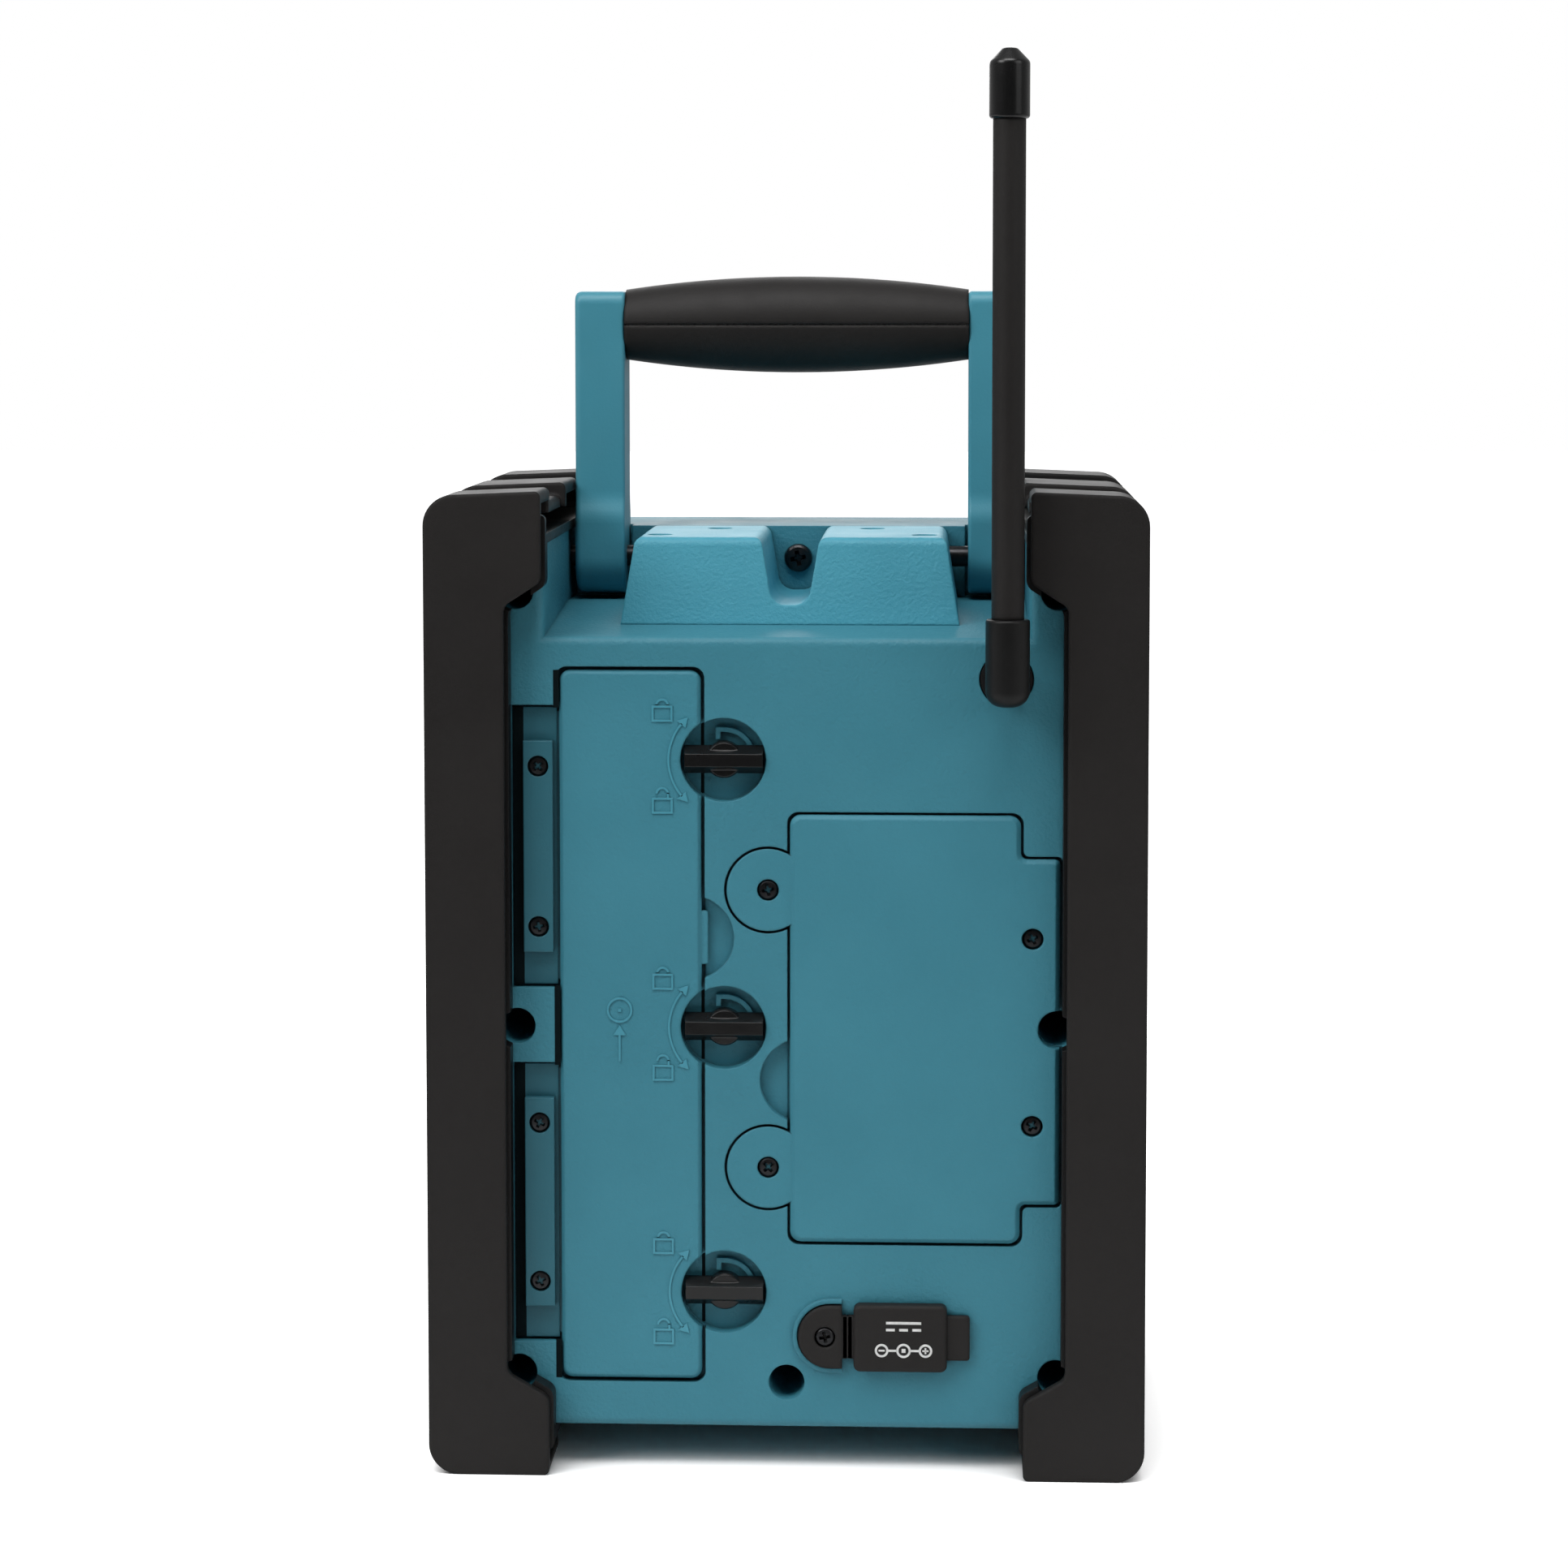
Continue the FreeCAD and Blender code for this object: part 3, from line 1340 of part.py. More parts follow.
def speaker():
    grille = Moulding("speaker_grille")
    rear = f"{FRONT_FACE} + grille_thick"
    gap = S.part_gap
    grille.pad([ring(0.0, speaker_height(), S.speaker_opening - gap)], "grille_thick",
               offset=rear)
    grille.fillet("grille_thick / 3", lambda e: level(e, 1, front_face()))
    grille.pocket(grille_cells(), "grille_thick + 2", offset=f"{rear} + 1")
    grille.publish()

    basket = Moulding("speaker_basket")
    deep = S.speaker_deep
    frame = S.speaker_frame
    throat = S.magnet_radius * 0.8
    wall = S.tub_wall
    loop = rounded([
        (frame - 3 * wall, 0.0, 0.0), (frame, 0.0, 0.0), (frame, wall, 0.0),
        (frame - 2 * wall, wall, 0.0), (throat + wall, deep, 0.0), (throat, deep, 0.0),
    ])
    basket.turn([loop], role="XY_Plane")
    turn_to_rear(basket, face_y=front_face() + S.case_wall)
    basket.publish()

    cone = Moulding("speaker_cone")
    loop = rounded([
        (0.0, deep * 0.55, 0.0), (throat * 0.45, deep * 0.55, 0.0),
        (throat * 0.5, deep * 0.75, 0.0), (frame - 5.5 * wall, wall, 0.0),
        (frame - 4.5 * wall, wall, 0.0), (throat * 0.5, deep * 0.8, 0.0), (0.0, deep * 0.8, 0.0),
    ])
    cone.turn([loop], role="XY_Plane")
    turn_to_rear(cone, face_y=front_face() + S.case_wall)
    cone.publish()

    base = f"{FRONT_FACE} + case_wall + speaker_deep"
    magnet = drum("magnet_disc", "y", ("0", SPEAKER_HEIGHT), "magnet_radius", base,
                  f"{base} + magnet_deep")
    publish(magnet, "speaker_magnet")


def turn_to_rear(part, face_y):
    """A revolve about the sketch's Y axis already runs rearward: lift it to its height."""
    part.body.Placement.Base = FreeCAD.Vector(0, face_y, speaker_height())
    DOC.recompute()


def display():
    wide = S.display_wide / 2
    tall = S.display_tall / 2
    lens = Moulding("display_lens")
    gap = S.part_gap
    lens.pad([rectangle(-wide + gap, wide - gap, display_height() - tall + gap,
                        display_height() + tall - gap, S.display_corner)],
             "lens_thick", offset=f"{FRONT_FACE} + lens_thick + part_gap")
    lens.publish()
    behind = f"{FRONT_FACE} + case_wall"
    panel = block("panel_box", ("-display_wide / 2 - panel_lap", "display_wide / 2 + panel_lap"),
                  (behind, f"{behind} + lens_thick * 2"),
                  (f"{DISPLAY_HEIGHT} - display_tall / 2 - panel_lap",
                   f"{DISPLAY_HEIGHT} + display_tall / 2 + panel_lap"))
    publish(panel, "display_panel")


def volume_control():
    part = Moulding("volume_knob")
    part.pad([ring(0.0, volume_height(), S.volume_radius)], "volume_deep",
             offset=f"{FRONT_FACE} - part_gap")
    face = front_face() - S.part_gap - S.volume_deep
    part.fillet("volume_deep / 8", lambda e: level(e, 1, face))
    flutes = []
    count = int(S.volume_grips)
    for index in range(count):
        angle = 2 * math.pi * index / count
        x = S.volume_radius * math.cos(angle)
        z = volume_height() + S.volume_radius * math.sin(angle)
        flutes.append(ring(x, z, S.volume_radius / 16))
    part.pocket(flutes, "volume_deep * 0.8", offset=f"{FRONT_FACE} - part_gap - volume_deep * 0.2")
    part.pad([ring(0.0, volume_height(), S.knob_shaft)], "case_wall + part_gap * 3",
             offset=f"{FRONT_FACE} + case_wall + part_gap")
    part.publish()
    behind = f"{FRONT_FACE} + case_wall + part_gap"
    can = block("encoder_can", ("-volume_radius / 2", "volume_radius / 2"),
                (f"{behind} + part_gap", BOARD_FRONT),
                (f"{VOLUME_HEIGHT} - volume_radius / 2", f"{VOLUME_HEIGHT} + volume_radius / 2"))
    publish(can, "volume_encoder")


BUTTON_NAMES = ("button_power", "button_band", "button_tune_down", "button_tune_up",
                "button_preset")


def buttons():
    for name, x in zip(BUTTON_NAMES, button_places()):
        part = Moulding(name)
        wide = S.button_wide / 2
        tall = S.button_tall / 2
        part.pad([rectangle(x - wide, x + wide, button_height() - tall, button_height() + tall,
                            S.display_corner / 2)],
                 "button_proud + case_wall + part_gap",
                 offset=f"{FRONT_FACE} + case_wall + part_gap")
        face = front_face() - S.button_proud
        part.fillet("button_proud / 3", lambda e: level(e, 1, face))
        part.publish()
    front = f"{FRONT_FACE} + case_wall + part_gap * 2 + button_travel"
    switches = []
    for index, x in enumerate(button_places()):
        middle = str(x)
        switches.append(block(f"switch_{index}",
                              (f"{middle} - button_tall / 2", f"{middle} + button_tall / 2"),
                              (front, BOARD_FRONT),
                              (f"{BUTTON_HEIGHT} - button_tall / 2",
                               f"{BUTTON_HEIGHT} + button_tall / 2")))
    publish(group("switch_group", switches), "button_switches")


BOARD_FRONT = f"{FRONT_FACE} + case_wall + part_gap + volume_deep / 2"


def main_board():
    board = block("board_sheet", ("board_inset - case_width / 2", "case_width / 2 - board_inset"),
                  (BOARD_FRONT, f"{BOARD_FRONT} + board_thick"),
                  (f"{SPEAKER_HEIGHT} + speaker_frame + panel_lap * 2",
                   "recess_lip - recess_skin - panel_lap"))
    publish(board, "main_board")


def case_screws():
    screws = []
    top = f"{REAR_FACE} - tunnel_deep + screw_head_deep"
    for index, (x, z) in enumerate(tunnel_places()):
        screws.append(rear_screw(f"case_screw_{index}", str(x), str(z), top, "case_screw_head",
                                 "parting_depth - tunnel_deep + screw_length / 2"))
    publish(group("case_screw_group", screws), "case_screws")
    notch = drum("notch_screw_head", "y", ("0", "case_top - notch_screw_drop"),
                 "case_screw_head", PARTING, f"{PARTING} + screw_head_deep")
    publish(notch, "notch_screw")


def check_document():
    """Stop if any object failed or any sub-part is empty or not valid."""
    faults = []
    for item in DOC.Objects:
        if {"Invalid", "Error"} & set(item.State):
            faults.append(f"{item.Name} ({item.Label}) failed")
    for item in NODES:
        shape = item.Shape
        if shape.isNull() or not shape.isValid() or not shape.Solids:
            faults.append(f"{item.Label} has no valid solid")
    if faults:
        raise RuntimeError("; ".join(faults))


def export_parts():
    os.makedirs("parts", exist_ok=True)
    for item in NODES:
        item.Shape.exportStep(f"parts/{item.Label}.step")


def build():
    fill_sheet()
    rear_case()
    front_case()
    for word, side in (("right", 1), ("left", -1)):
        guard(f"guard_{word}", side)
        guard_frame(f"guard_frame_{word}", side)
        handle_arm(f"handle_arm_{word}", side)
    handle_bracket()
    bracket_screws()
    handle_pins()
    grip_half("grip_upper", True)
    grip_half("grip_lower", False)
    handle_core()
    antenna()
    socket_bay()
    aux_socket()
    battery_tub()
    battery_cells()
    battery_contacts()
    bay_door()
    hinge_parts()
    for word in ("upper", "middle", "lower"):
        latch_knob(f"latch_knob_{word}", f"knob_{word}")
        latch_clip(f"latch_clip_{word}", f"knob_{word}")
    battery_cover()
    battery_cover_screws()
    power_inlet()
    speaker()
    display()
    volume_control()
    buttons()
    main_board()
    case_screws()
    DOC.recompute()
    check_document()
    export_parts()
    for item in NODES:
        print(item.Label, len(item.Shape.Solids), round(item.Shape.Volume, 1))


build()
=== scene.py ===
"""Looks of the jobsite radio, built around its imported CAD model. Metres, +Z up, rear at +Y."""
import json
import math

import bmesh
import bpy
from mathutils import Matrix, Vector

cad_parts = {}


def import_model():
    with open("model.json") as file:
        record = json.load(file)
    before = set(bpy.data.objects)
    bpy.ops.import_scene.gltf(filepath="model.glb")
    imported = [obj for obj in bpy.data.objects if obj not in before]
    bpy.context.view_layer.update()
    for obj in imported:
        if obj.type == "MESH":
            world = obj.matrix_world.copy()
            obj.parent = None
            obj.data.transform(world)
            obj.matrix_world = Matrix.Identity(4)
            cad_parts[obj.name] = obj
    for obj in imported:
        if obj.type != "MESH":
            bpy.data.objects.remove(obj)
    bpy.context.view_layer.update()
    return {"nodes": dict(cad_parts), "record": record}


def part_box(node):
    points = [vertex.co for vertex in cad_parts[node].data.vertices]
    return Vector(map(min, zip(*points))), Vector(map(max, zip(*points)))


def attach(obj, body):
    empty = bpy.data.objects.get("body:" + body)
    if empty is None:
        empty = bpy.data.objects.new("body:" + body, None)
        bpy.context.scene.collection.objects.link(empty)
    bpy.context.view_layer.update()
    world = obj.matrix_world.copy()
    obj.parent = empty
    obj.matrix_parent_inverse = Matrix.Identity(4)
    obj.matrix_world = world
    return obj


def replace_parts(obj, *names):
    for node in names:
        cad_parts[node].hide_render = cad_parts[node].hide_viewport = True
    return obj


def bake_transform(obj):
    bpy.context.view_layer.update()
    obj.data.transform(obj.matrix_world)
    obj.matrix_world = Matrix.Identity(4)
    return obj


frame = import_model()
MM = 0.001
CASE = "case"
LATCHES = ("upper", "middle", "lower")


# Materials
# Painted shade on moulded parts: how far ambient occlusion looks, how dark the shade gets as a
# share of the dark tone, the occlusion range over which it fades out, and the samples
PAINTED_SHADE_REACH = 2.2 * MM
PAINTED_SHADE_SHARE = 0.10
PAINTED_SHADE_CLOSED = 0.15
PAINTED_SHADE_OPEN = 0.62
PAINTED_SHADE_SAMPLES = 6
BEVEL_SAMPLES = 6
GRAIN_RISE = 0.22 * MM
BLOTCH_SCALE = 28.0
SMEAR_SCALE = 90.0
STREAK_SCALE = 700.0
TEAL_DARK = (0.040, 0.205, 0.272)
TEAL_LIGHT = (0.047, 0.228, 0.300)


def new_material(name):
    material = bpy.data.materials.new(name)
    material.use_nodes = True
    return material, material.node_tree.nodes, material.node_tree.links


def object_coordinates(nodes, links, scale=(1, 1, 1)):
    """Object coordinates in metres times a scale, the same on every piece."""
    coordinates = nodes.new("ShaderNodeTexCoord")
    mapping = nodes.new("ShaderNodeMapping")
    mapping.inputs["Scale"].default_value = scale
    links.new(coordinates.outputs["Object"], mapping.inputs["Vector"])
    return mapping.outputs["Vector"]


def noise(nodes, links, vector, scale, detail=2.0, rough=0.5):
    texture = nodes.new("ShaderNodeTexNoise")
    texture.inputs["Scale"].default_value = scale
    texture.inputs["Detail"].default_value = detail
    texture.inputs["Roughness"].default_value = rough
    links.new(vector, texture.inputs["Vector"])
    return texture.outputs["Fac"]


def ramp(nodes, links, source, low, high, start=0.3, end=0.7):
    """Map a factor to a range of numbers."""
    node = nodes.new("ShaderNodeMapRange")
    node.inputs["From Min"].default_value = start
    node.inputs["From Max"].default_value = end
    node.inputs["To Min"].default_value = low
    node.inputs["To Max"].default_value = high
    links.new(source, node.inputs["Value"])
    return node.outputs["Result"]


def tint(nodes, links, factor, dark, light):
    """Mix two colours; the lighter one is a colour or a socket."""
    node = nodes.new("ShaderNodeMix")
    node.data_type = "RGBA"
    node.inputs["A"].default_value = (*dark, 1)
    if isinstance(light, tuple):
        node.inputs["B"].default_value = (*light, 1)
    else:
        links.new(light, node.inputs["B"])
    links.new(factor, node.inputs["Factor"])
    return node.outputs["Result"]


def shader_math(nodes, links, operation, first, second):
    """Math node on two sockets."""
    node = nodes.new("ShaderNodeMath")
    node.operation = operation
    links.new(first, node.inputs[0])
    links.new(second, node.inputs[1])
    return node.outputs["Value"]


def openness(nodes, links, reach, samples, closed, open_from):
    """Factor that is 0 deep in a gap and 1 on an open surface."""
    shade = nodes.new("ShaderNodeAmbientOcclusion")
    shade.samples = samples
    shade.inputs["Distance"].default_value = reach
    return ramp(nodes, links, shade.outputs["AO"], 0.0, 1.0, closed, open_from)


def moulded(name, dark, light, rough, grain, depth, edge, specular=0.5):
    """Moulded plastic or rubber: spark-eroded grain, faint blotches, softened edges and
    painted shade, which darkens the colour in gaps, recesses and inner corners."""
    material, nodes, links = new_material(name)
    shader = nodes["Principled BSDF"]
    vector = object_coordinates(nodes, links)
    blotch = noise(nodes, links, vector, BLOTCH_SCALE, 3.0)
    colour = tint(nodes, links, ramp(nodes, links, blotch, 0.0, 1.0), dark, light)
    # Painted shade: the base colour darkens towards a far darker copy of the dark tone where
    # ambient occlusion finds gaps, recesses and inner corners
    painted_shade_colour = tuple(value * PAINTED_SHADE_SHARE for value in dark)
    unshaded_share = openness(nodes, links, PAINTED_SHADE_REACH, PAINTED_SHADE_SAMPLES, PAINTED_SHADE_CLOSED, PAINTED_SHADE_OPEN)
    links.new(tint(nodes, links, unshaded_share, painted_shade_colour, colour), shader.inputs["Base Color"])
    smear = noise(nodes, links, vector, SMEAR_SCALE, 4.0, 0.6)
    links.new(ramp(nodes, links, smear, rough - 0.04, rough + 0.05), shader.inputs["Roughness"])
    shader.inputs["Specular IOR Level"].default_value = specular
    bevel = nodes.new("ShaderNodeBevel")
    bevel.samples = BEVEL_SAMPLES
    bevel.inputs["Radius"].default_value = edge * MM
    bump = nodes.new("ShaderNodeBump")
    bump.inputs["Strength"].default_value = depth
    bump.inputs["Distance"].default_value = GRAIN_RISE
    links.new(noise(nodes, links, vector, grain, 2.0, 0.55), bump.inputs["Height"])
    links.new(bevel.outputs["Normal"], bump.inputs["Normal"])
    links.new(bump.outputs["Normal"], shader.inputs["Normal"])
    return material


def metal(name, colour, rough, stretch=(1, 1, 1)):
    """Plain metal with fine brushed or mottled roughness."""
    material, nodes, links = new_material(name)
    shader = nodes["Principled BSDF"]
    streak = noise(nodes, links, object_coordinates(nodes, links, stretch), STREAK_SCALE, 3.0)
    lighter = tuple(min(1.0, value * 1.15 + 0.01) for value in colour)
    links.new(tint(nodes, links, streak, colour, lighter), shader.inputs["Base Color"])
    links.new(ramp(nodes, links, streak, rough - 0.08, rough + 0.08), shader.inputs["Roughness"])
    shader.inputs["Metallic"].default_value = 1.0
    return material


def lens_material(name):
    """Clear plastic with a faint haze."""
    material, nodes, links = new_material(name)
    shader = nodes["Principled BSDF"]
    haze = noise(nodes, links, object_coordinates(nodes, links), 60.0)
    links.new(ramp(nodes, links, haze, 0.03, 0.09), shader.inputs["Roughness"])
    links.new(tint(nodes, links, haze, (0.80, 0.84, 0.84), (0.86, 0.90, 0.90)),
              shader.inputs["Base Color"])
    shader.inputs["Transmission Weight"].default_value = 0.85
    shader.inputs["IOR"].default_value = 1.49
    return material


def print_material(name):
    """Slightly worn white print."""
    material, nodes, links = new_material(name)
    shader = nodes["Principled BSDF"]
    worn = noise(nodes, links, object_coordinates(nodes, links), 900.0, 3.0)
    links.new(tint(nodes, links, ramp(nodes, links, worn, 0.0, 1.0), (0.62, 0.62, 0.61),
                   (0.78, 0.78, 0.77)), shader.inputs["Base Color"])
    shader.inputs["Roughness"].default_value = 0.6
    return material


def teal(share):
    """The two tones of the teal plastic, lighter or darker by a share."""
    return [tuple(value * share for value in tone) for tone in (TEAL_DARK, TEAL_LIGHT)]


# Dark and light tone, roughness, grain scale, grain strength, edge radius in mm, specular
MOULDED = {
    "teal_case": (*teal(0.97), 0.52, 1150.0, 0.85, 0.45, 0.35),
    "teal_panel": (*teal(1.0), 0.52, 1150.0, 0.75, 0.75, 0.35),
    # Bracket: a lighter teal, partly its own moulding's tone and partly painted light for the
    # top light on its sloped face
    "teal_bracket_tone_and_painted_light": (*teal(1.5), 0.50, 1150.0, 0.85, 0.8, 0.35),
    "teal_smooth": (*teal(1.22), 0.45, 1500.0, 0.15, 0.3),
    # Hinge clamps, straps and door webs: the teal darkened, a painted shade for the shadow in
    # the hinge recess
    "teal_hinge_painted_shade": (*teal(0.62), 0.48, 1400.0, 0.3, 0.5, 0.35),
    # Door marks: a lighter teal, a painted highlight on the raised lines
    "teal_mark_painted_highlight": (*teal(1.28), 0.42, 1500.0, 0.05, 0.12),
    "guard_black": ((0.0118, 0.0104, 0.0100), (0.0145, 0.0130, 0.0124), 0.56, 2600.0, 0.18,
                    1.3, 0.27),
    "frame_black": ((0.0060, 0.0060, 0.0062), (0.0085, 0.0085, 0.0085), 0.42, 1800.0, 0.12,
                    0.3, 0.24),
    "knob_black": ((0.0042, 0.0042, 0.0044), (0.0055, 0.0055, 0.0056), 0.24, 1400.0, 0.05,
                   0.28, 0.42),
    "joint_shadow": ((0.0012, 0.0050, 0.0065), (0.0018, 0.0065, 0.0080), 0.85, 1500.0, 0.05,
                     0.1, 0.1),
    "cell_wrap": ((0.05, 0.05, 0.055), (0.07, 0.07, 0.075), 0.3, 900.0, 0.05, 0.2),
    "board_green": ((0.010, 0.075, 0.030), (0.016, 0.105, 0.042), 0.35, 500.0, 0.2, 0.1),
    "display_grey": ((0.30, 0.35, 0.30), (0.34, 0.39, 0.34), 0.35, 300.0, 0.05, 0.1),
    "speaker_paper": ((0.018, 0.018, 0.018), (0.030, 0.030, 0.029), 0.85, 1900.0, 0.8, 0.2),
}
# Colour, roughness and stretch of the brushing
METALS = {
    "screw_black": ((0.030, 0.030, 0.032), 0.34),
    "steel": ((0.52, 0.52, 0.53), 0.30, (1, 1, 6)),
    "magnet_grey": ((0.10, 0.10, 0.10), 0.55),
}
# Nodes whose material differs from the material of their slot: for some a finish of their own,
# for the hinge parts painted shade, for the bracket a tone that is partly painted light
FINISH_AND_PAINTED_LIGHT = {
    "handle_arm_right": "teal_smooth", "handle_arm_left": "teal_smooth",
    "hinge_clamp_upper": "teal_hinge_painted_shade", "hinge_clamp_lower": "teal_hinge_painted_shade",
    "hinge_straps": "teal_hinge_painted_shade", "handle_bracket": "teal_bracket_tone_and_painted_light",
    "bay_door": "teal_panel", "battery_cover": "teal_panel", "handle_pins": "screw_black",
}
MATERIALS = {name: moulded(name, *look) for name, look in MOULDED.items()}
MATERIALS.update({name: metal(name, *look) for name, look in METALS.items()})
MATERIALS["lens_clear"] = lens_material("lens_clear")
MATERIALS["print_white"] = print_material("print_white")


def paint_cad():
    """Give every CAD node the material of its slot, or the one listed for it, which for the
    hinge parts carries painted shade and for the bracket partly painted light.
    """
    slots = {item["node"]: item["material_slot"] for item in frame["record"]["subparts"]}
    for node, item in frame["nodes"].items():
        material = MATERIALS[FINISH_AND_PAINTED_LIGHT.get(node, slots[node])]
        if not item.material_slots:
            item.data.materials.append(material)
        for holder in item.material_slots:
            holder.material = material


# Mesh helpers
def linked(name, mesh, material):
    """Object in the scene with one material and the slot that it shows."""
    item = bpy.data.objects.new(name, mesh)
    bpy.context.scene.collection.objects.link(item)
    mesh.materials.clear()
    mesh.materials.append(MATERIALS[material])
    return item


def piece(name, mesh, material, body):
    """Object that rides on a body."""
    item = linked(name, mesh, material)
    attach(item, body)
    return item


def mesh_from(build, name):
    """Mesh made by a function that fills a bmesh."""
    bm = bmesh.new()
    build(bm)
    bmesh.ops.recalc_face_normals(bm, faces=bm.faces)
    mesh = bpy.data.meshes.new(name)
    bm.to_mesh(mesh)
    bm.free()
    return mesh


def skin(bm, rings):
    """Closed solid through rings of vertices with the same count."""
    count = len(rings[0])
    for first, second in zip(rings, rings[1:]):
        for index in range(count):
            after = (index + 1) % count
            bm.faces.new((first[index], first[after], second[after], second[index]))
    bm.faces.new(rings[0])
    bm.faces.new(rings[-1][::-1])


def prism(bm, outline, low, high):
    """Prism from a closed outline of (x, z) pairs between two depths."""
    skin(bm, [[bm.verts.new((x, depth, z)) for x, z in outline] for depth in (low, high)])


def prisms(outlines, face, rise):
    """Function that fills a bmesh with outlines, as deep in a face as they stand out."""
    def build(bm):
        for outline in outlines:
            prism(bm, outline, face - rise, face + rise)
    return build


def span_outline(near, far, bottom, top):
    return [(near, bottom), (far, bottom), (far, top), (near, top)]


def box_outline(x, z, wide, tall):
    """Rectangle about a centre."""
    return span_outline(x - wide / 2, x + wide / 2, z - tall / 2, z + tall / 2)


def on_circle(centre, radius, degrees):
    """Point on a circle; the angle runs from +X towards +Z."""
    angle = math.radians(degrees)
    return centre[0] + radius * math.cos(angle), centre[1] + radius * math.sin(angle)


def arc_band(centre, radius, width, start, end, steps=24):
    """Outline of a curved band between two angles in degrees."""
    outline = []
    for edge, turns in ((radius + width / 2, range(steps + 1)),
                        (radius - width / 2, range(steps, -1, -1))):
        outline += [on_circle(centre, edge, start + (end - start) * step / steps)
                    for step in turns]
    return outline


def ring_bands(centre, radius, width):
    """Full ring, as two half bands."""
    return [arc_band(centre, radius, width, start, start + 180) for start in (0, 180)]


def middle_of(node):
    """Centre of a node's box in X and Z."""
    low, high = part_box(node)
    return (low.x + high.x) / 2, (low.z + high.z) / 2


def lathe(bm, profile, steps):
    """Solid of revolution about the Y axis from (radius, depth) pairs."""
    rings = []
    for radius, depth in profile:
        if radius == 0:
            rings.append([bm.verts.new((0, depth, 0))])
            continue
        rings.append([bm.verts.new((radius * math.cos(2 * math.pi * step / steps), depth,
                                    radius * math.sin(2 * math.pi * step / steps)))
                      for step in range(steps)])
    for lower, upper in zip(rings, rings[1:]):
        for step in range(steps):
            after = (step + 1) % steps
            if len(lower) == 1:
                bm.faces.new((lower[0], upper[step], upper[after]))
            elif len(upper) == 1:
                bm.faces.new((lower[step], lower[after], upper[0]))
            else:
                bm.faces.new((lower[step], lower[after], upper[after], upper[step]))


# Screw heads with a cross recess; lengths are shares of the head's radius
SCREW_NODES = ("battery_cover_screws", "hinge_clamp_screws", "flap_screw", "notch_screw")
SCREW_TURNS = (0.2, 0.75, 0.45, 1.1)
HEAD_FOOT = 0.7
HEAD_STEPS = 40
HEAD_PROFILE = ((1.0, 0.35), (0.93, 0.16), (0.78, 0.048), (0.4, 0.0))
CROSS_DEEP = 0.5
CROSS_OVER = 0.3
CROSS_TOP = (0.744, 0.1955)
CROSS_BOTTOM = (0.279, 0.102)


def cross_cutter(bm, radius, top, turn):
    """Tapered cross that cuts the driver recess."""
    for extra in (0, math.pi / 2):
        rotate = Matrix.Rotation(turn + extra, 3, "Y")
        rings = []
        for depth, (reach, half) in ((top + radius * CROSS_OVER, CROSS_TOP),
                                     (top - radius * CROSS_DEEP, CROSS_BOTTOM)):
            corners = box_outline(0, 0, 2 * radius * reach, 2 * radius * half)
            rings.append([bm.verts.new(rotate @ Vector((x, depth, z))) for x, z in corners])
        skin(bm, rings)


def screw_head_mesh(name, radius, low, top, turn):
    """Pan head with a rounded rim and a cross recess, about the Y axis."""
    foot = min(low, top - radius * HEAD_FOOT)
    rim = [(radius * share, top - radius * drop) for share, drop in HEAD_PROFILE]
    profile = [(0, foot), (radius, foot), *rim, (0, top)]
    head = bpy.data.objects.new(name, mesh_from(lambda bm: lathe(bm, profile, HEAD_STEPS), name))
    cut = bpy.data.objects.new(f"{name}_cut", mesh_from(
        lambda bm: cross_cutter(bm, radius, top, turn), f"{name}_cut"))
    for item in (head, cut):
        bpy.context.scene.collection.objects.link(item)
    carve = head.modifiers.new("recess", "BOOLEAN")
    carve.operation = "DIFFERENCE"
    carve.solver = "EXACT"
    carve.use_self = True
    carve.object = cut
    graph = bpy.context.evaluated_depsgraph_get()
    mesh = bpy.data.meshes.new_from_object(head.evaluated_get(graph))
    for item in (head, cut):
        bpy.data.objects.remove(item)
    return mesh


def islands(node):
    """Box of each separate solid in a CAD node, as (low, high) pairs."""
    bm = bmesh.new()
    bm.from_mesh(frame["nodes"][node].data)
    bmesh.ops.remove_doubles(bm, verts=bm.verts, dist=1e-6)
    seen = set()
    found = []
    for vert in bm.verts:
        if vert in seen:
            continue
        stack = [vert]
        seen.add(vert)
        group = []
        while stack:
            here = stack.pop()
            group.append(here.co.copy())
            for edge in here.link_edges:
                other = edge.other_vert(here)
                if other not in seen:
                    seen.add(other)
                    stack.append(other)
        found.append((Vector([min(co[axis] for co in group) for axis in range(3)]),
                      Vector([max(co[axis] for co in group) for axis in range(3)])))
    bm.free()
    return found


def screw_group(node):
    """Replace a node of plain rear-facing heads by heads with a cross recess."""
    bm = bmesh.new()
    for index, (low, high) in enumerate(islands(node)):
        mesh = screw_head_mesh(f"{node}_{index}", (high.x - low.x) / 2, low.y, high.y,
                               SCREW_TURNS[index % len(SCREW_TURNS)])
        mesh.transform(Matrix.Translation(((low.x + high.x) / 2, 0, (low.z + high.z) / 2)))
        bm.from_mesh(mesh)
    mesh = bpy.data.meshes.new(f"{node}_heads")
    bm.to_mesh(mesh)
    bm.free()
    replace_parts(piece(f"{node}_heads", mesh, "screw_black", CASE), node)


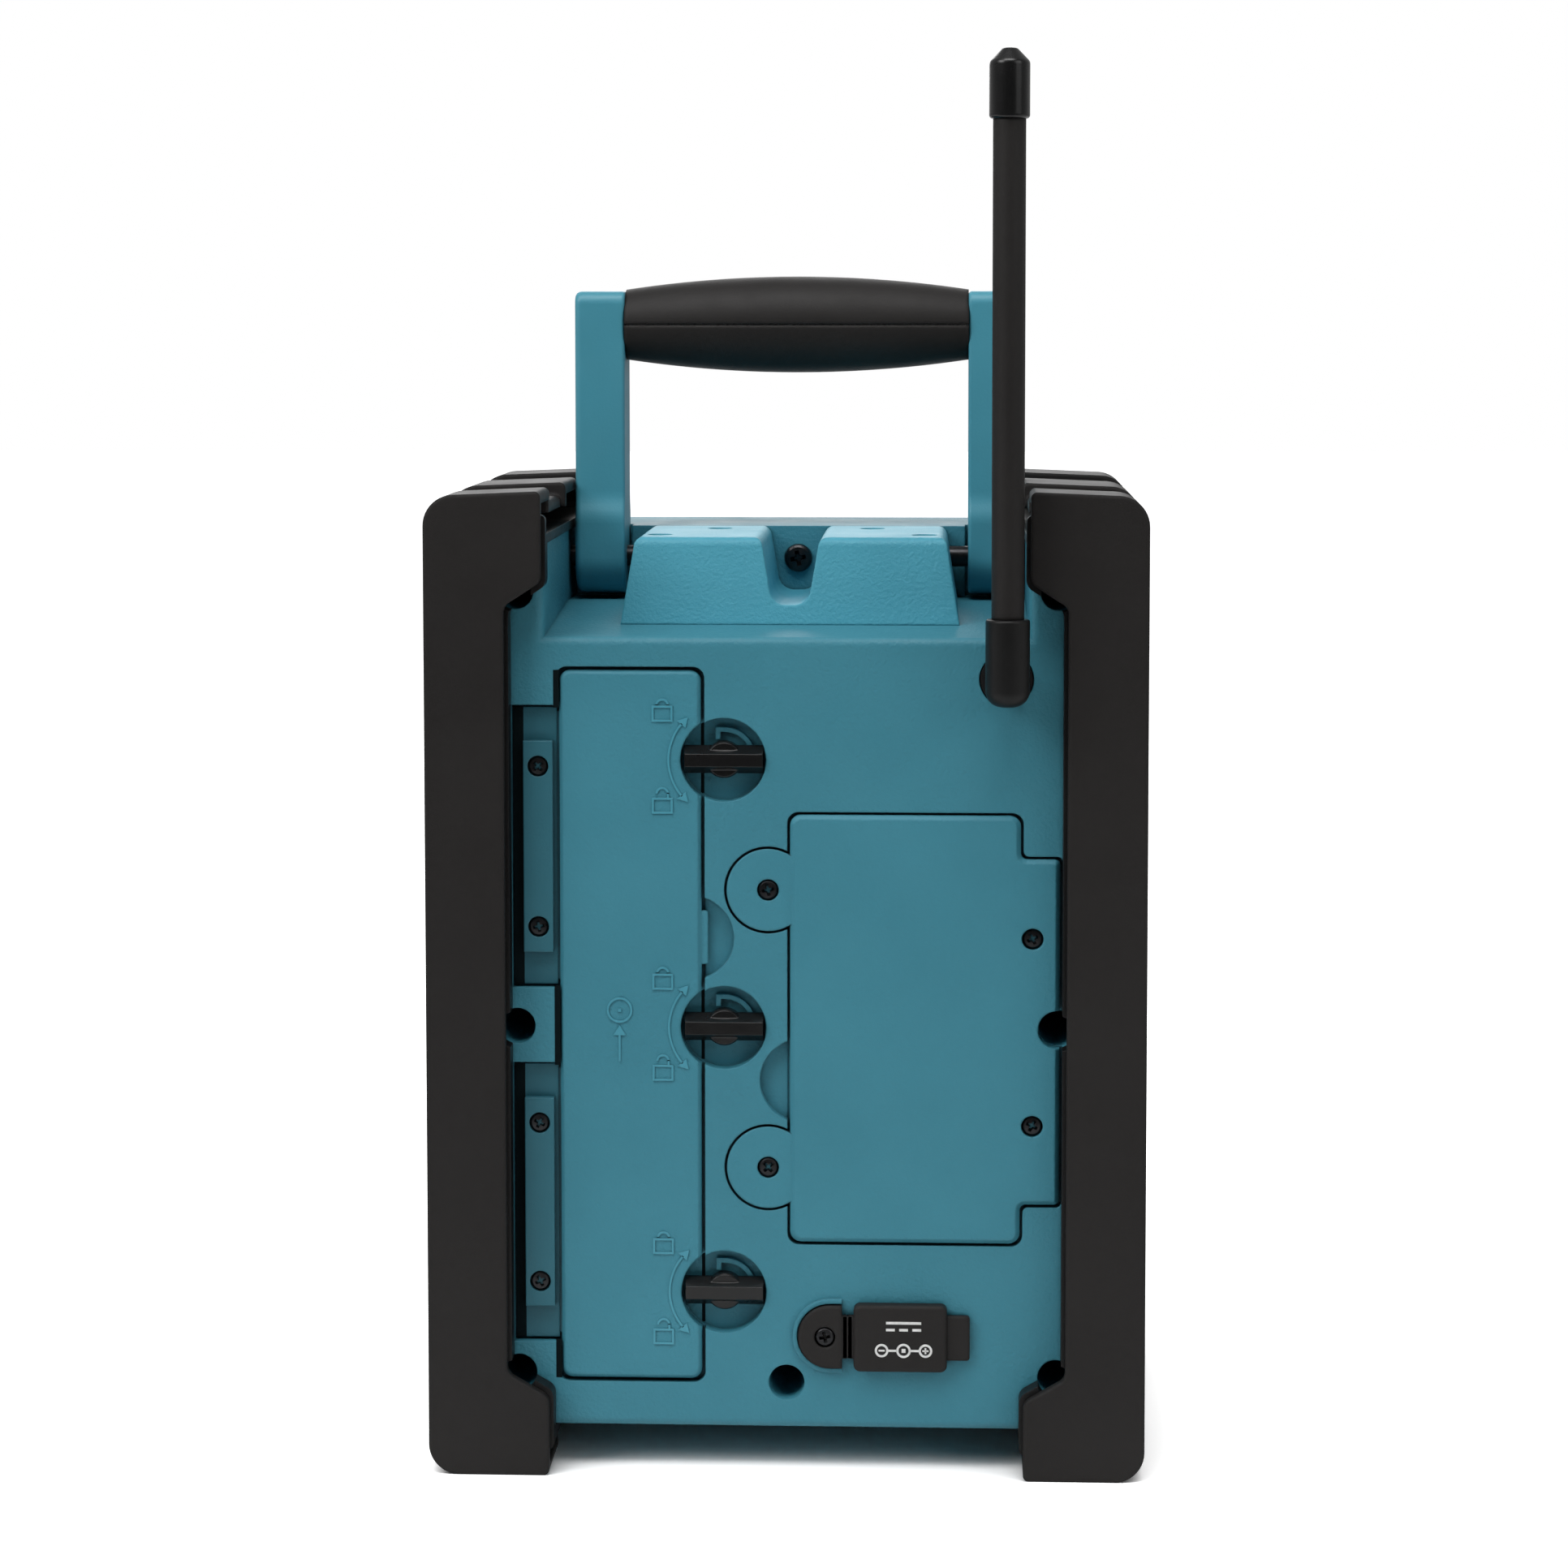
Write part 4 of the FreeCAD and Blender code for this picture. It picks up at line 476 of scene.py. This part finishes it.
# Raised marks on the door: how the latch knobs turn, and a plain audio-in sign
MARK_RISE = 0.26 * MM
MARK_LINE = 0.50 * MM
ARROW_RADIUS = 12.6 * MM
ARROW_SWEEP = 41.0
ARROW_TIP = 50.0
ARROW_HALF = 1.3 * MM
ARROW_STEPS = 40
LOCK_OUT = 14.0 * MM
LOCK_UP = 10.5 * MM
LOCK_WIDE = 4.3 * MM
LOCK_TALL = 3.2 * MM
LOCK_BOW = LOCK_WIDE * 0.3
AUDIO_PLACE = (38.1 * MM, 106.2 * MM)
AUDIO_RING = 2.7 * MM
AUDIO_GAP = 0.8 * MM
AUDIO_HEAD = 2.3 * MM
AUDIO_HEAD_HALF = 1.5 * MM
AUDIO_SHAFT = 6.0 * MM


def frame_bars(x, z, wide, tall, line):
    """Four bars round a rectangle."""
    return [box_outline(x, z + tall / 2, wide + line, line),
            box_outline(x, z - tall / 2, wide + line, line),
            box_outline(x + wide / 2, z, line, tall - line),
            box_outline(x - wide / 2, z, line, tall - line)]


def padlock(x, z, is_open):
    """Outlines of a small padlock sign; its bow is lifted when open."""
    lift = LOCK_BOW * (0.9 if is_open else 0.25)
    shoulder = z + LOCK_TALL / 2 + lift
    outlines = frame_bars(x, z, LOCK_WIDE, LOCK_TALL, MARK_LINE)
    outlines.append(arc_band((x, shoulder), LOCK_BOW, MARK_LINE, 0, 180))
    legs = (-1,) if is_open else (-1, 1)
    outlines += [box_outline(x + side * LOCK_BOW, shoulder - lift / 2 + MARK_LINE / 2,
                             MARK_LINE, lift) for side in legs]
    return outlines


def latch_marks(word):
    """Arc with two arrowheads beside a latch knob, and a padlock at each end of it."""
    centre = middle_of(f"latch_knob_{word}")
    outlines = [arc_band(centre, ARROW_RADIUS, MARK_LINE, -ARROW_SWEEP, ARROW_SWEEP,
                         ARROW_STEPS)]
    for side in (-1, 1):
        tip = on_circle(centre, ARROW_RADIUS, side * ARROW_TIP)
        wings = [on_circle(centre, ARROW_RADIUS + across * ARROW_HALF,
                           side * (ARROW_SWEEP - 1)) for across in (-1, 1)]
        outlines.append([tip, *wings])
        outlines += padlock(centre[0] + LOCK_OUT, centre[1] + side * LOCK_UP, side < 0)
    return outlines


def audio_mark():
    """Socket ring with a dot, and an arrow that points into it: signal in."""
    x, z = AUDIO_PLACE
    tip = z - AUDIO_RING - AUDIO_GAP
    neck = tip - AUDIO_HEAD
    return [*ring_bands((x, z), AUDIO_RING, MARK_LINE),
            box_outline(x, z, MARK_LINE * 1.6, MARK_LINE * 1.6),
            [(x, tip), (x - AUDIO_HEAD_HALF, neck), (x + AUDIO_HEAD_HALF, neck)],
            box_outline(x, neck - AUDIO_SHAFT / 2, MARK_LINE, AUDIO_SHAFT)]


def door_marks():
    outlines = audio_mark()
    for word in LATCHES:
        outlines += latch_marks(word)
    build = prisms(outlines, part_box("bay_door")[1].y, MARK_RISE)
    # The marks are a lighter teal, a painted highlight on their raised lines
    piece("door_marks", mesh_from(build, "door_marks"), "teal_mark_painted_highlight", "door")


# Generic print on the flap: direct current above, centre-positive polarity below
PRINT_RISE = 0.06 * MM
PRINT_LINE = 0.5 * MM
PRINT_HEAVY = PRINT_LINE * 1.2
PRINT_FINE = PRINT_LINE * 0.8
PRINT_SIDE = 1.2 * MM
CURRENT_UP = 3.0 * MM
CURRENT_GAP = 0.8 * MM
CURRENT_WIDE = 8.0 * MM
DASH_PITCH = 3.0 * MM
DASH_WIDE = 2.0 * MM
POLARITY_DOWN = 2.6 * MM
CENTRE_RING = 1.4 * MM
CENTRE_DOT = 0.9 * MM
LINK_OUT = 2.5 * MM
LINK_WIDE = 2.0 * MM
SIGN_OUT = 5.0 * MM
SIGN_RING = 1.3 * MM
SIGN_BAR = 1.4 * MM


def flap_marks():
    x, z = middle_of("inlet_flap")
    x += PRINT_SIDE
    upper = z + CURRENT_UP
    lower = z - POLARITY_DOWN
    outlines = [box_outline(x, upper + CURRENT_GAP, CURRENT_WIDE, PRINT_HEAVY)]
    outlines += [box_outline(x + place * DASH_PITCH, upper - CURRENT_GAP, DASH_WIDE,
                             PRINT_HEAVY) for place in (-1, 0, 1)]
    outlines += ring_bands((x, lower), CENTRE_RING, PRINT_LINE)
    outlines.append(box_outline(x, lower, CENTRE_DOT, CENTRE_DOT))
    for side in (-1, 1):
        sign = x + side * SIGN_OUT
        outlines.append(box_outline(x + side * LINK_OUT, lower, LINK_WIDE, PRINT_LINE))
        outlines += ring_bands((sign, lower), SIGN_RING, PRINT_LINE)
        outlines.append(box_outline(sign, lower, SIGN_BAR, PRINT_FINE))
    outlines.append(box_outline(x - SIGN_OUT, lower, PRINT_FINE, SIGN_BAR))
    build = prisms(outlines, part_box("inlet_flap")[1].y, PRINT_RISE)
    piece("flap_marks", mesh_from(build, "flap_marks"), "print_white", "flap")


# Latch knobs: a ridged bar across a round hub
KNOB_HEAD = 3.6 * MM
KNOB_WIDE = 3.2 * MM
KNOB_RIDGE = 1.4 * MM
KNOB_FOOT = 0.8 * MM
KNOB_TAPER = 0.35 * MM
HUB_RADIUS = 4.2 * MM
HUB_EDGE = 0.4 * MM
HUB_DROP = 0.5 * MM
HUB_DOME = 0.15 * MM
HUB_SHARE = 0.62
HUB_STEPS = 48
SHAFT_RADIUS = 2.6 * MM
SHAFT_STEPS = 32


def knob_bar(bm, half, base, top):
    """Bar along X with sloping sides, a flat ridge and slightly drawn-in ends."""
    section = [(-KNOB_WIDE, base), (KNOB_WIDE, base), (KNOB_WIDE, base + KNOB_FOOT),
               (KNOB_RIDGE, top), (-KNOB_RIDGE, top), (-KNOB_WIDE, base + KNOB_FOOT)]
    skin(bm, [[bm.verts.new((side * (half - KNOB_TAPER * (depth - base) / (top - base)),
                             depth, across)) for across, depth in section]
              for side in (-1, 1)])


def latch_knobs():
    for word in LATCHES:
        node = f"latch_knob_{word}"
        low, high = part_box(node)
        base = high.y - KNOB_HEAD
        crown = base + KNOB_HEAD * HUB_SHARE
        hub = [(0, base - KNOB_FOOT), (HUB_RADIUS, base - KNOB_FOOT),
               (HUB_RADIUS, crown - HUB_DROP), (HUB_RADIUS - HUB_EDGE, crown),
               (0, crown + HUB_DOME)]
        shaft = [(0, low.y), (SHAFT_RADIUS, low.y), (SHAFT_RADIUS, base), (0, base)]

        def build(bm):
            knob_bar(bm, (high.x - low.x) / 2, base, high.y)
            lathe(bm, hub, HUB_STEPS)
            lathe(bm, shaft, SHAFT_STEPS)
        mesh = mesh_from(build, f"{node}_grip")
        x, z = middle_of(node)
        mesh.transform(Matrix.Translation((x, 0, z)))
        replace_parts(piece(f"{node}_grip", mesh, "knob_black", f"latch_{word}"),
                    node)


# Shadowed joints: the door's seam across the latch dishes, its gap along the hinge side and
# the slot beside the flexible straps
DISH_RADIUS = 9.5 * MM
DISH_FLOOR = 50.6 * MM
SEAM_WIDE = 0.75 * MM
SEAM_LEAD = 1.37 * MM
LAND_GAP = 1.3 * MM
STRAP_SLOT = 2.3 * MM
SHADOW_SKIN = 0.04 * MM


def joint_lines():
    door_low, door_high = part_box("bay_door")
    bars = []
    for word in LATCHES:
        x, z = middle_of(f"latch_knob_{word}")
        edge = door_low.x + SEAM_LEAD
        reach = math.sqrt(DISH_RADIUS ** 2 - (edge - x) ** 2)
        bars.append((edge - SEAM_WIDE / 2, edge + SEAM_WIDE / 2, z - reach, z + reach,
                     DISH_FLOOR))
    land = (door_high.x, door_high.x + LAND_GAP)
    foot = door_low.z
    for low, high in sorted(islands("hinge_straps"), key=lambda box: box[0].z):
        bars.append((*land, foot, low.z, door_high.y))
        bars.append((high.x - STRAP_SLOT, high.x, low.z, high.z, high.y))
        foot = high.z
    bars.append((*land, foot, door_high.z, door_high.y))

    def build(bm):
        for *sides, depth in bars:
            prism(bm, span_outline(*sides), depth - SHADOW_SKIN, depth + SHADOW_SKIN)
    piece("joint_lines", mesh_from(build, "joint_lines"), "joint_shadow", CASE)


# Living hinges: thin webs across a joint, between its two bodies
WEB_STEPS = 16
WEB_THICK = 0.6 * MM
WEB_REACH = 1.0 * MM
WEB_INSET = 1.0 * MM
DOOR_PIVOT = (52.0 * MM, 52.3 * MM)
FLAP_PIVOT = (-14.0 * MM, 56.1 * MM)
FLAP_WEB_TALL = 9.6 * MM


def web(name, material, pivot, spans):
    """Webs across a joint at (x, y), one per span of heights, from the case on the +X side
    to the body on the -X side."""
    x, y = pivot

    def build(bm):
        for low, high in spans:
            section = span_outline(y - WEB_THICK / 2, y + WEB_THICK / 2, low, high)
            skin(bm, [[bm.verts.new((x + WEB_REACH * (1 - 2 * step / WEB_STEPS), depth, z))
                       for depth, z in section] for step in range(WEB_STEPS + 1)])
    item = linked(name, mesh_from(build, name), material)
    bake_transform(item)


def webs():
    straps = [(low.z + WEB_INSET, high.z - WEB_INSET) for low, high in islands("hinge_straps")]
    web("door_webs", "teal_hinge_painted_shade", DOOR_PIVOT, straps)
    middle = middle_of("flap_anchor")[1]
    web("flap_web", "guard_black", FLAP_PIVOT,
        [(middle - FLAP_WEB_TALL / 2, middle + FLAP_WEB_TALL / 2)])


# Floor and lights
FLOOR_REACH = 6.0
FLOOR_END = 0.40
FLOOR_COLOUR = (0.88, 0.88, 0.88, 1)
# Painted contact shadow: the floor's camera-only glow fades by ambient occlusion near the radio
CONTACT_REACH = 0.055
CONTACT_CLOSED = 0.30
CONTACT_OPEN = 0.80
CONTACT_SAMPLES = 12
SKY_BEHIND_CAMERA = 0.085
SKY_BEHIND_RADIO = 0.46
SKY_TURN = (-0.5, 0.7)
LAMP_AIM = (0, 0, 0.13)
# Place, size and power
LAMPS = {
    "key": ((1.05, 0.85, 1.15), (0.8, 0.8), 12.5),
    "fill": ((-1.15, 0.95, 0.85), (0.9, 0.9), 4.5),
    "top": ((0.05, 0.55, 1.40), (0.9, 0.6), 11.0),
    "front": ((0.2, -1.6, 0.9), (1.0, 1.0), 8.0),
}


def stage():
    """Pale floor: white to the camera but for the contact shadow, which is partly cast by the
    lamps and partly painted, and ending behind the view.
    """
    mesh = bpy.data.meshes.new("floor")
    corners = [(-FLOOR_REACH, -FLOOR_REACH, 0), (FLOOR_REACH, -FLOOR_REACH, 0),
               (FLOOR_REACH, FLOOR_END, 0), (-FLOOR_REACH, FLOOR_END, 0)]
    mesh.from_pydata(corners, [], [(0, 1, 2, 3)])
    floor = bpy.data.objects.new("floor", mesh)
    bpy.context.scene.collection.objects.link(floor)
    material, nodes, links = new_material("floor_pale")
    nodes.remove(nodes["Principled BSDF"])
    matte = nodes.new("ShaderNodeBsdfDiffuse")
    matte.inputs["Color"].default_value = FLOOR_COLOUR
    # Painted shadow: the glow that whitens the floor to the camera dims by ambient occlusion
    # under and beside the radio
    glow_with_painted_shadow = openness(nodes, links, CONTACT_REACH, CONTACT_SAMPLES, CONTACT_CLOSED, CONTACT_OPEN)
    path = nodes.new("ShaderNodeLightPath")
    emission = nodes.new("ShaderNodeEmission")
    links.new(shader_math(nodes, links, "MULTIPLY", path.outputs["Is Camera Ray"], glow_with_painted_shadow),
              emission.inputs["Strength"])
    add = nodes.new("ShaderNodeAddShader")
    links.new(matte.outputs["BSDF"], add.inputs[0])
    links.new(emission.outputs["Emission"], add.inputs[1])
    links.new(add.outputs["Shader"], nodes["Material Output"].inputs["Surface"])
    floor.data.materials.append(material)


def world():
    """White to the camera; for light and reflections dimmer on the rear side."""
    scene_world = bpy.data.worlds.new("studio")
    bpy.context.scene.world = scene_world
    scene_world.use_nodes = True
    nodes = scene_world.node_tree.nodes
    links = scene_world.node_tree.links
    background = nodes["Background"]
    background.inputs["Color"].default_value = (1, 1, 1, 1)
    way = nodes.new("ShaderNodeTexCoord")
    split = nodes.new("ShaderNodeSeparateXYZ")
    links.new(way.outputs["Generated"], split.inputs["Vector"])
    light = ramp(nodes, links, split.outputs["Y"], SKY_BEHIND_RADIO, SKY_BEHIND_CAMERA,
                 *SKY_TURN)
    path = nodes.new("ShaderNodeLightPath")
    seen = shader_math(nodes, links, "MAXIMUM", path.outputs["Is Camera Ray"],
                       path.outputs["Is Transmission Ray"])
    links.new(shader_math(nodes, links, "MAXIMUM", seen, light), background.inputs["Strength"])


def lamps():
    for name, (place, size, power) in LAMPS.items():
        light = bpy.data.lights.new(name, "AREA")
        light.shape = "RECTANGLE"
        light.size, light.size_y = size
        light.energy = power
        item = bpy.data.objects.new(name, light)
        item.location = place
        way = Vector(LAMP_AIM) - Vector(place)
        item.rotation_euler = way.to_track_quat("-Z", "Y").to_euler()
        bpy.context.scene.collection.objects.link(item)


# Camera, found by fitting known places of the model to the photograph; angles in degrees,
# the focal length and the principal point in pixels of the photograph
IMAGE = 1932
SENSOR = 36.0
CAMERA_PLACE = (-0.0368, 0.8922, 0.2660)
CAMERA_PITCH = -4.0
CAMERA_YAW = 2.55
CAMERA_ROLL = 0.03
FOCAL_PIXELS = 4585
PRINCIPAL = (966, 700)
CLIP_START = 0.01


def camera():
    data = bpy.data.cameras.new("view")
    data.sensor_width = SENSOR
    data.lens = FOCAL_PIXELS / IMAGE * SENSOR
    data.shift_x = (IMAGE / 2 - PRINCIPAL[0]) / IMAGE
    data.shift_y = (PRINCIPAL[1] - IMAGE / 2) / IMAGE
    data.clip_start = CLIP_START
    item = bpy.data.objects.new("view", data)
    turn = (Matrix.Rotation(math.radians(180 + CAMERA_YAW), 4, "Z")
            @ Matrix.Rotation(math.radians(90 + CAMERA_PITCH), 4, "X")
            @ Matrix.Rotation(math.radians(-CAMERA_ROLL), 4, "Z"))
    item.matrix_world = Matrix.Translation(CAMERA_PLACE) @ turn
    bpy.context.scene.collection.objects.link(item)
    bpy.context.scene.camera = item


def main():
    bpy.context.scene.view_settings.view_transform = "Standard"
    paint_cad()
    for node in SCREW_NODES:
        screw_group(node)
    door_marks()
    flap_marks()
    latch_knobs()
    joint_lines()
    webs()
    stage()
    world()
    lamps()
    camera()


main()
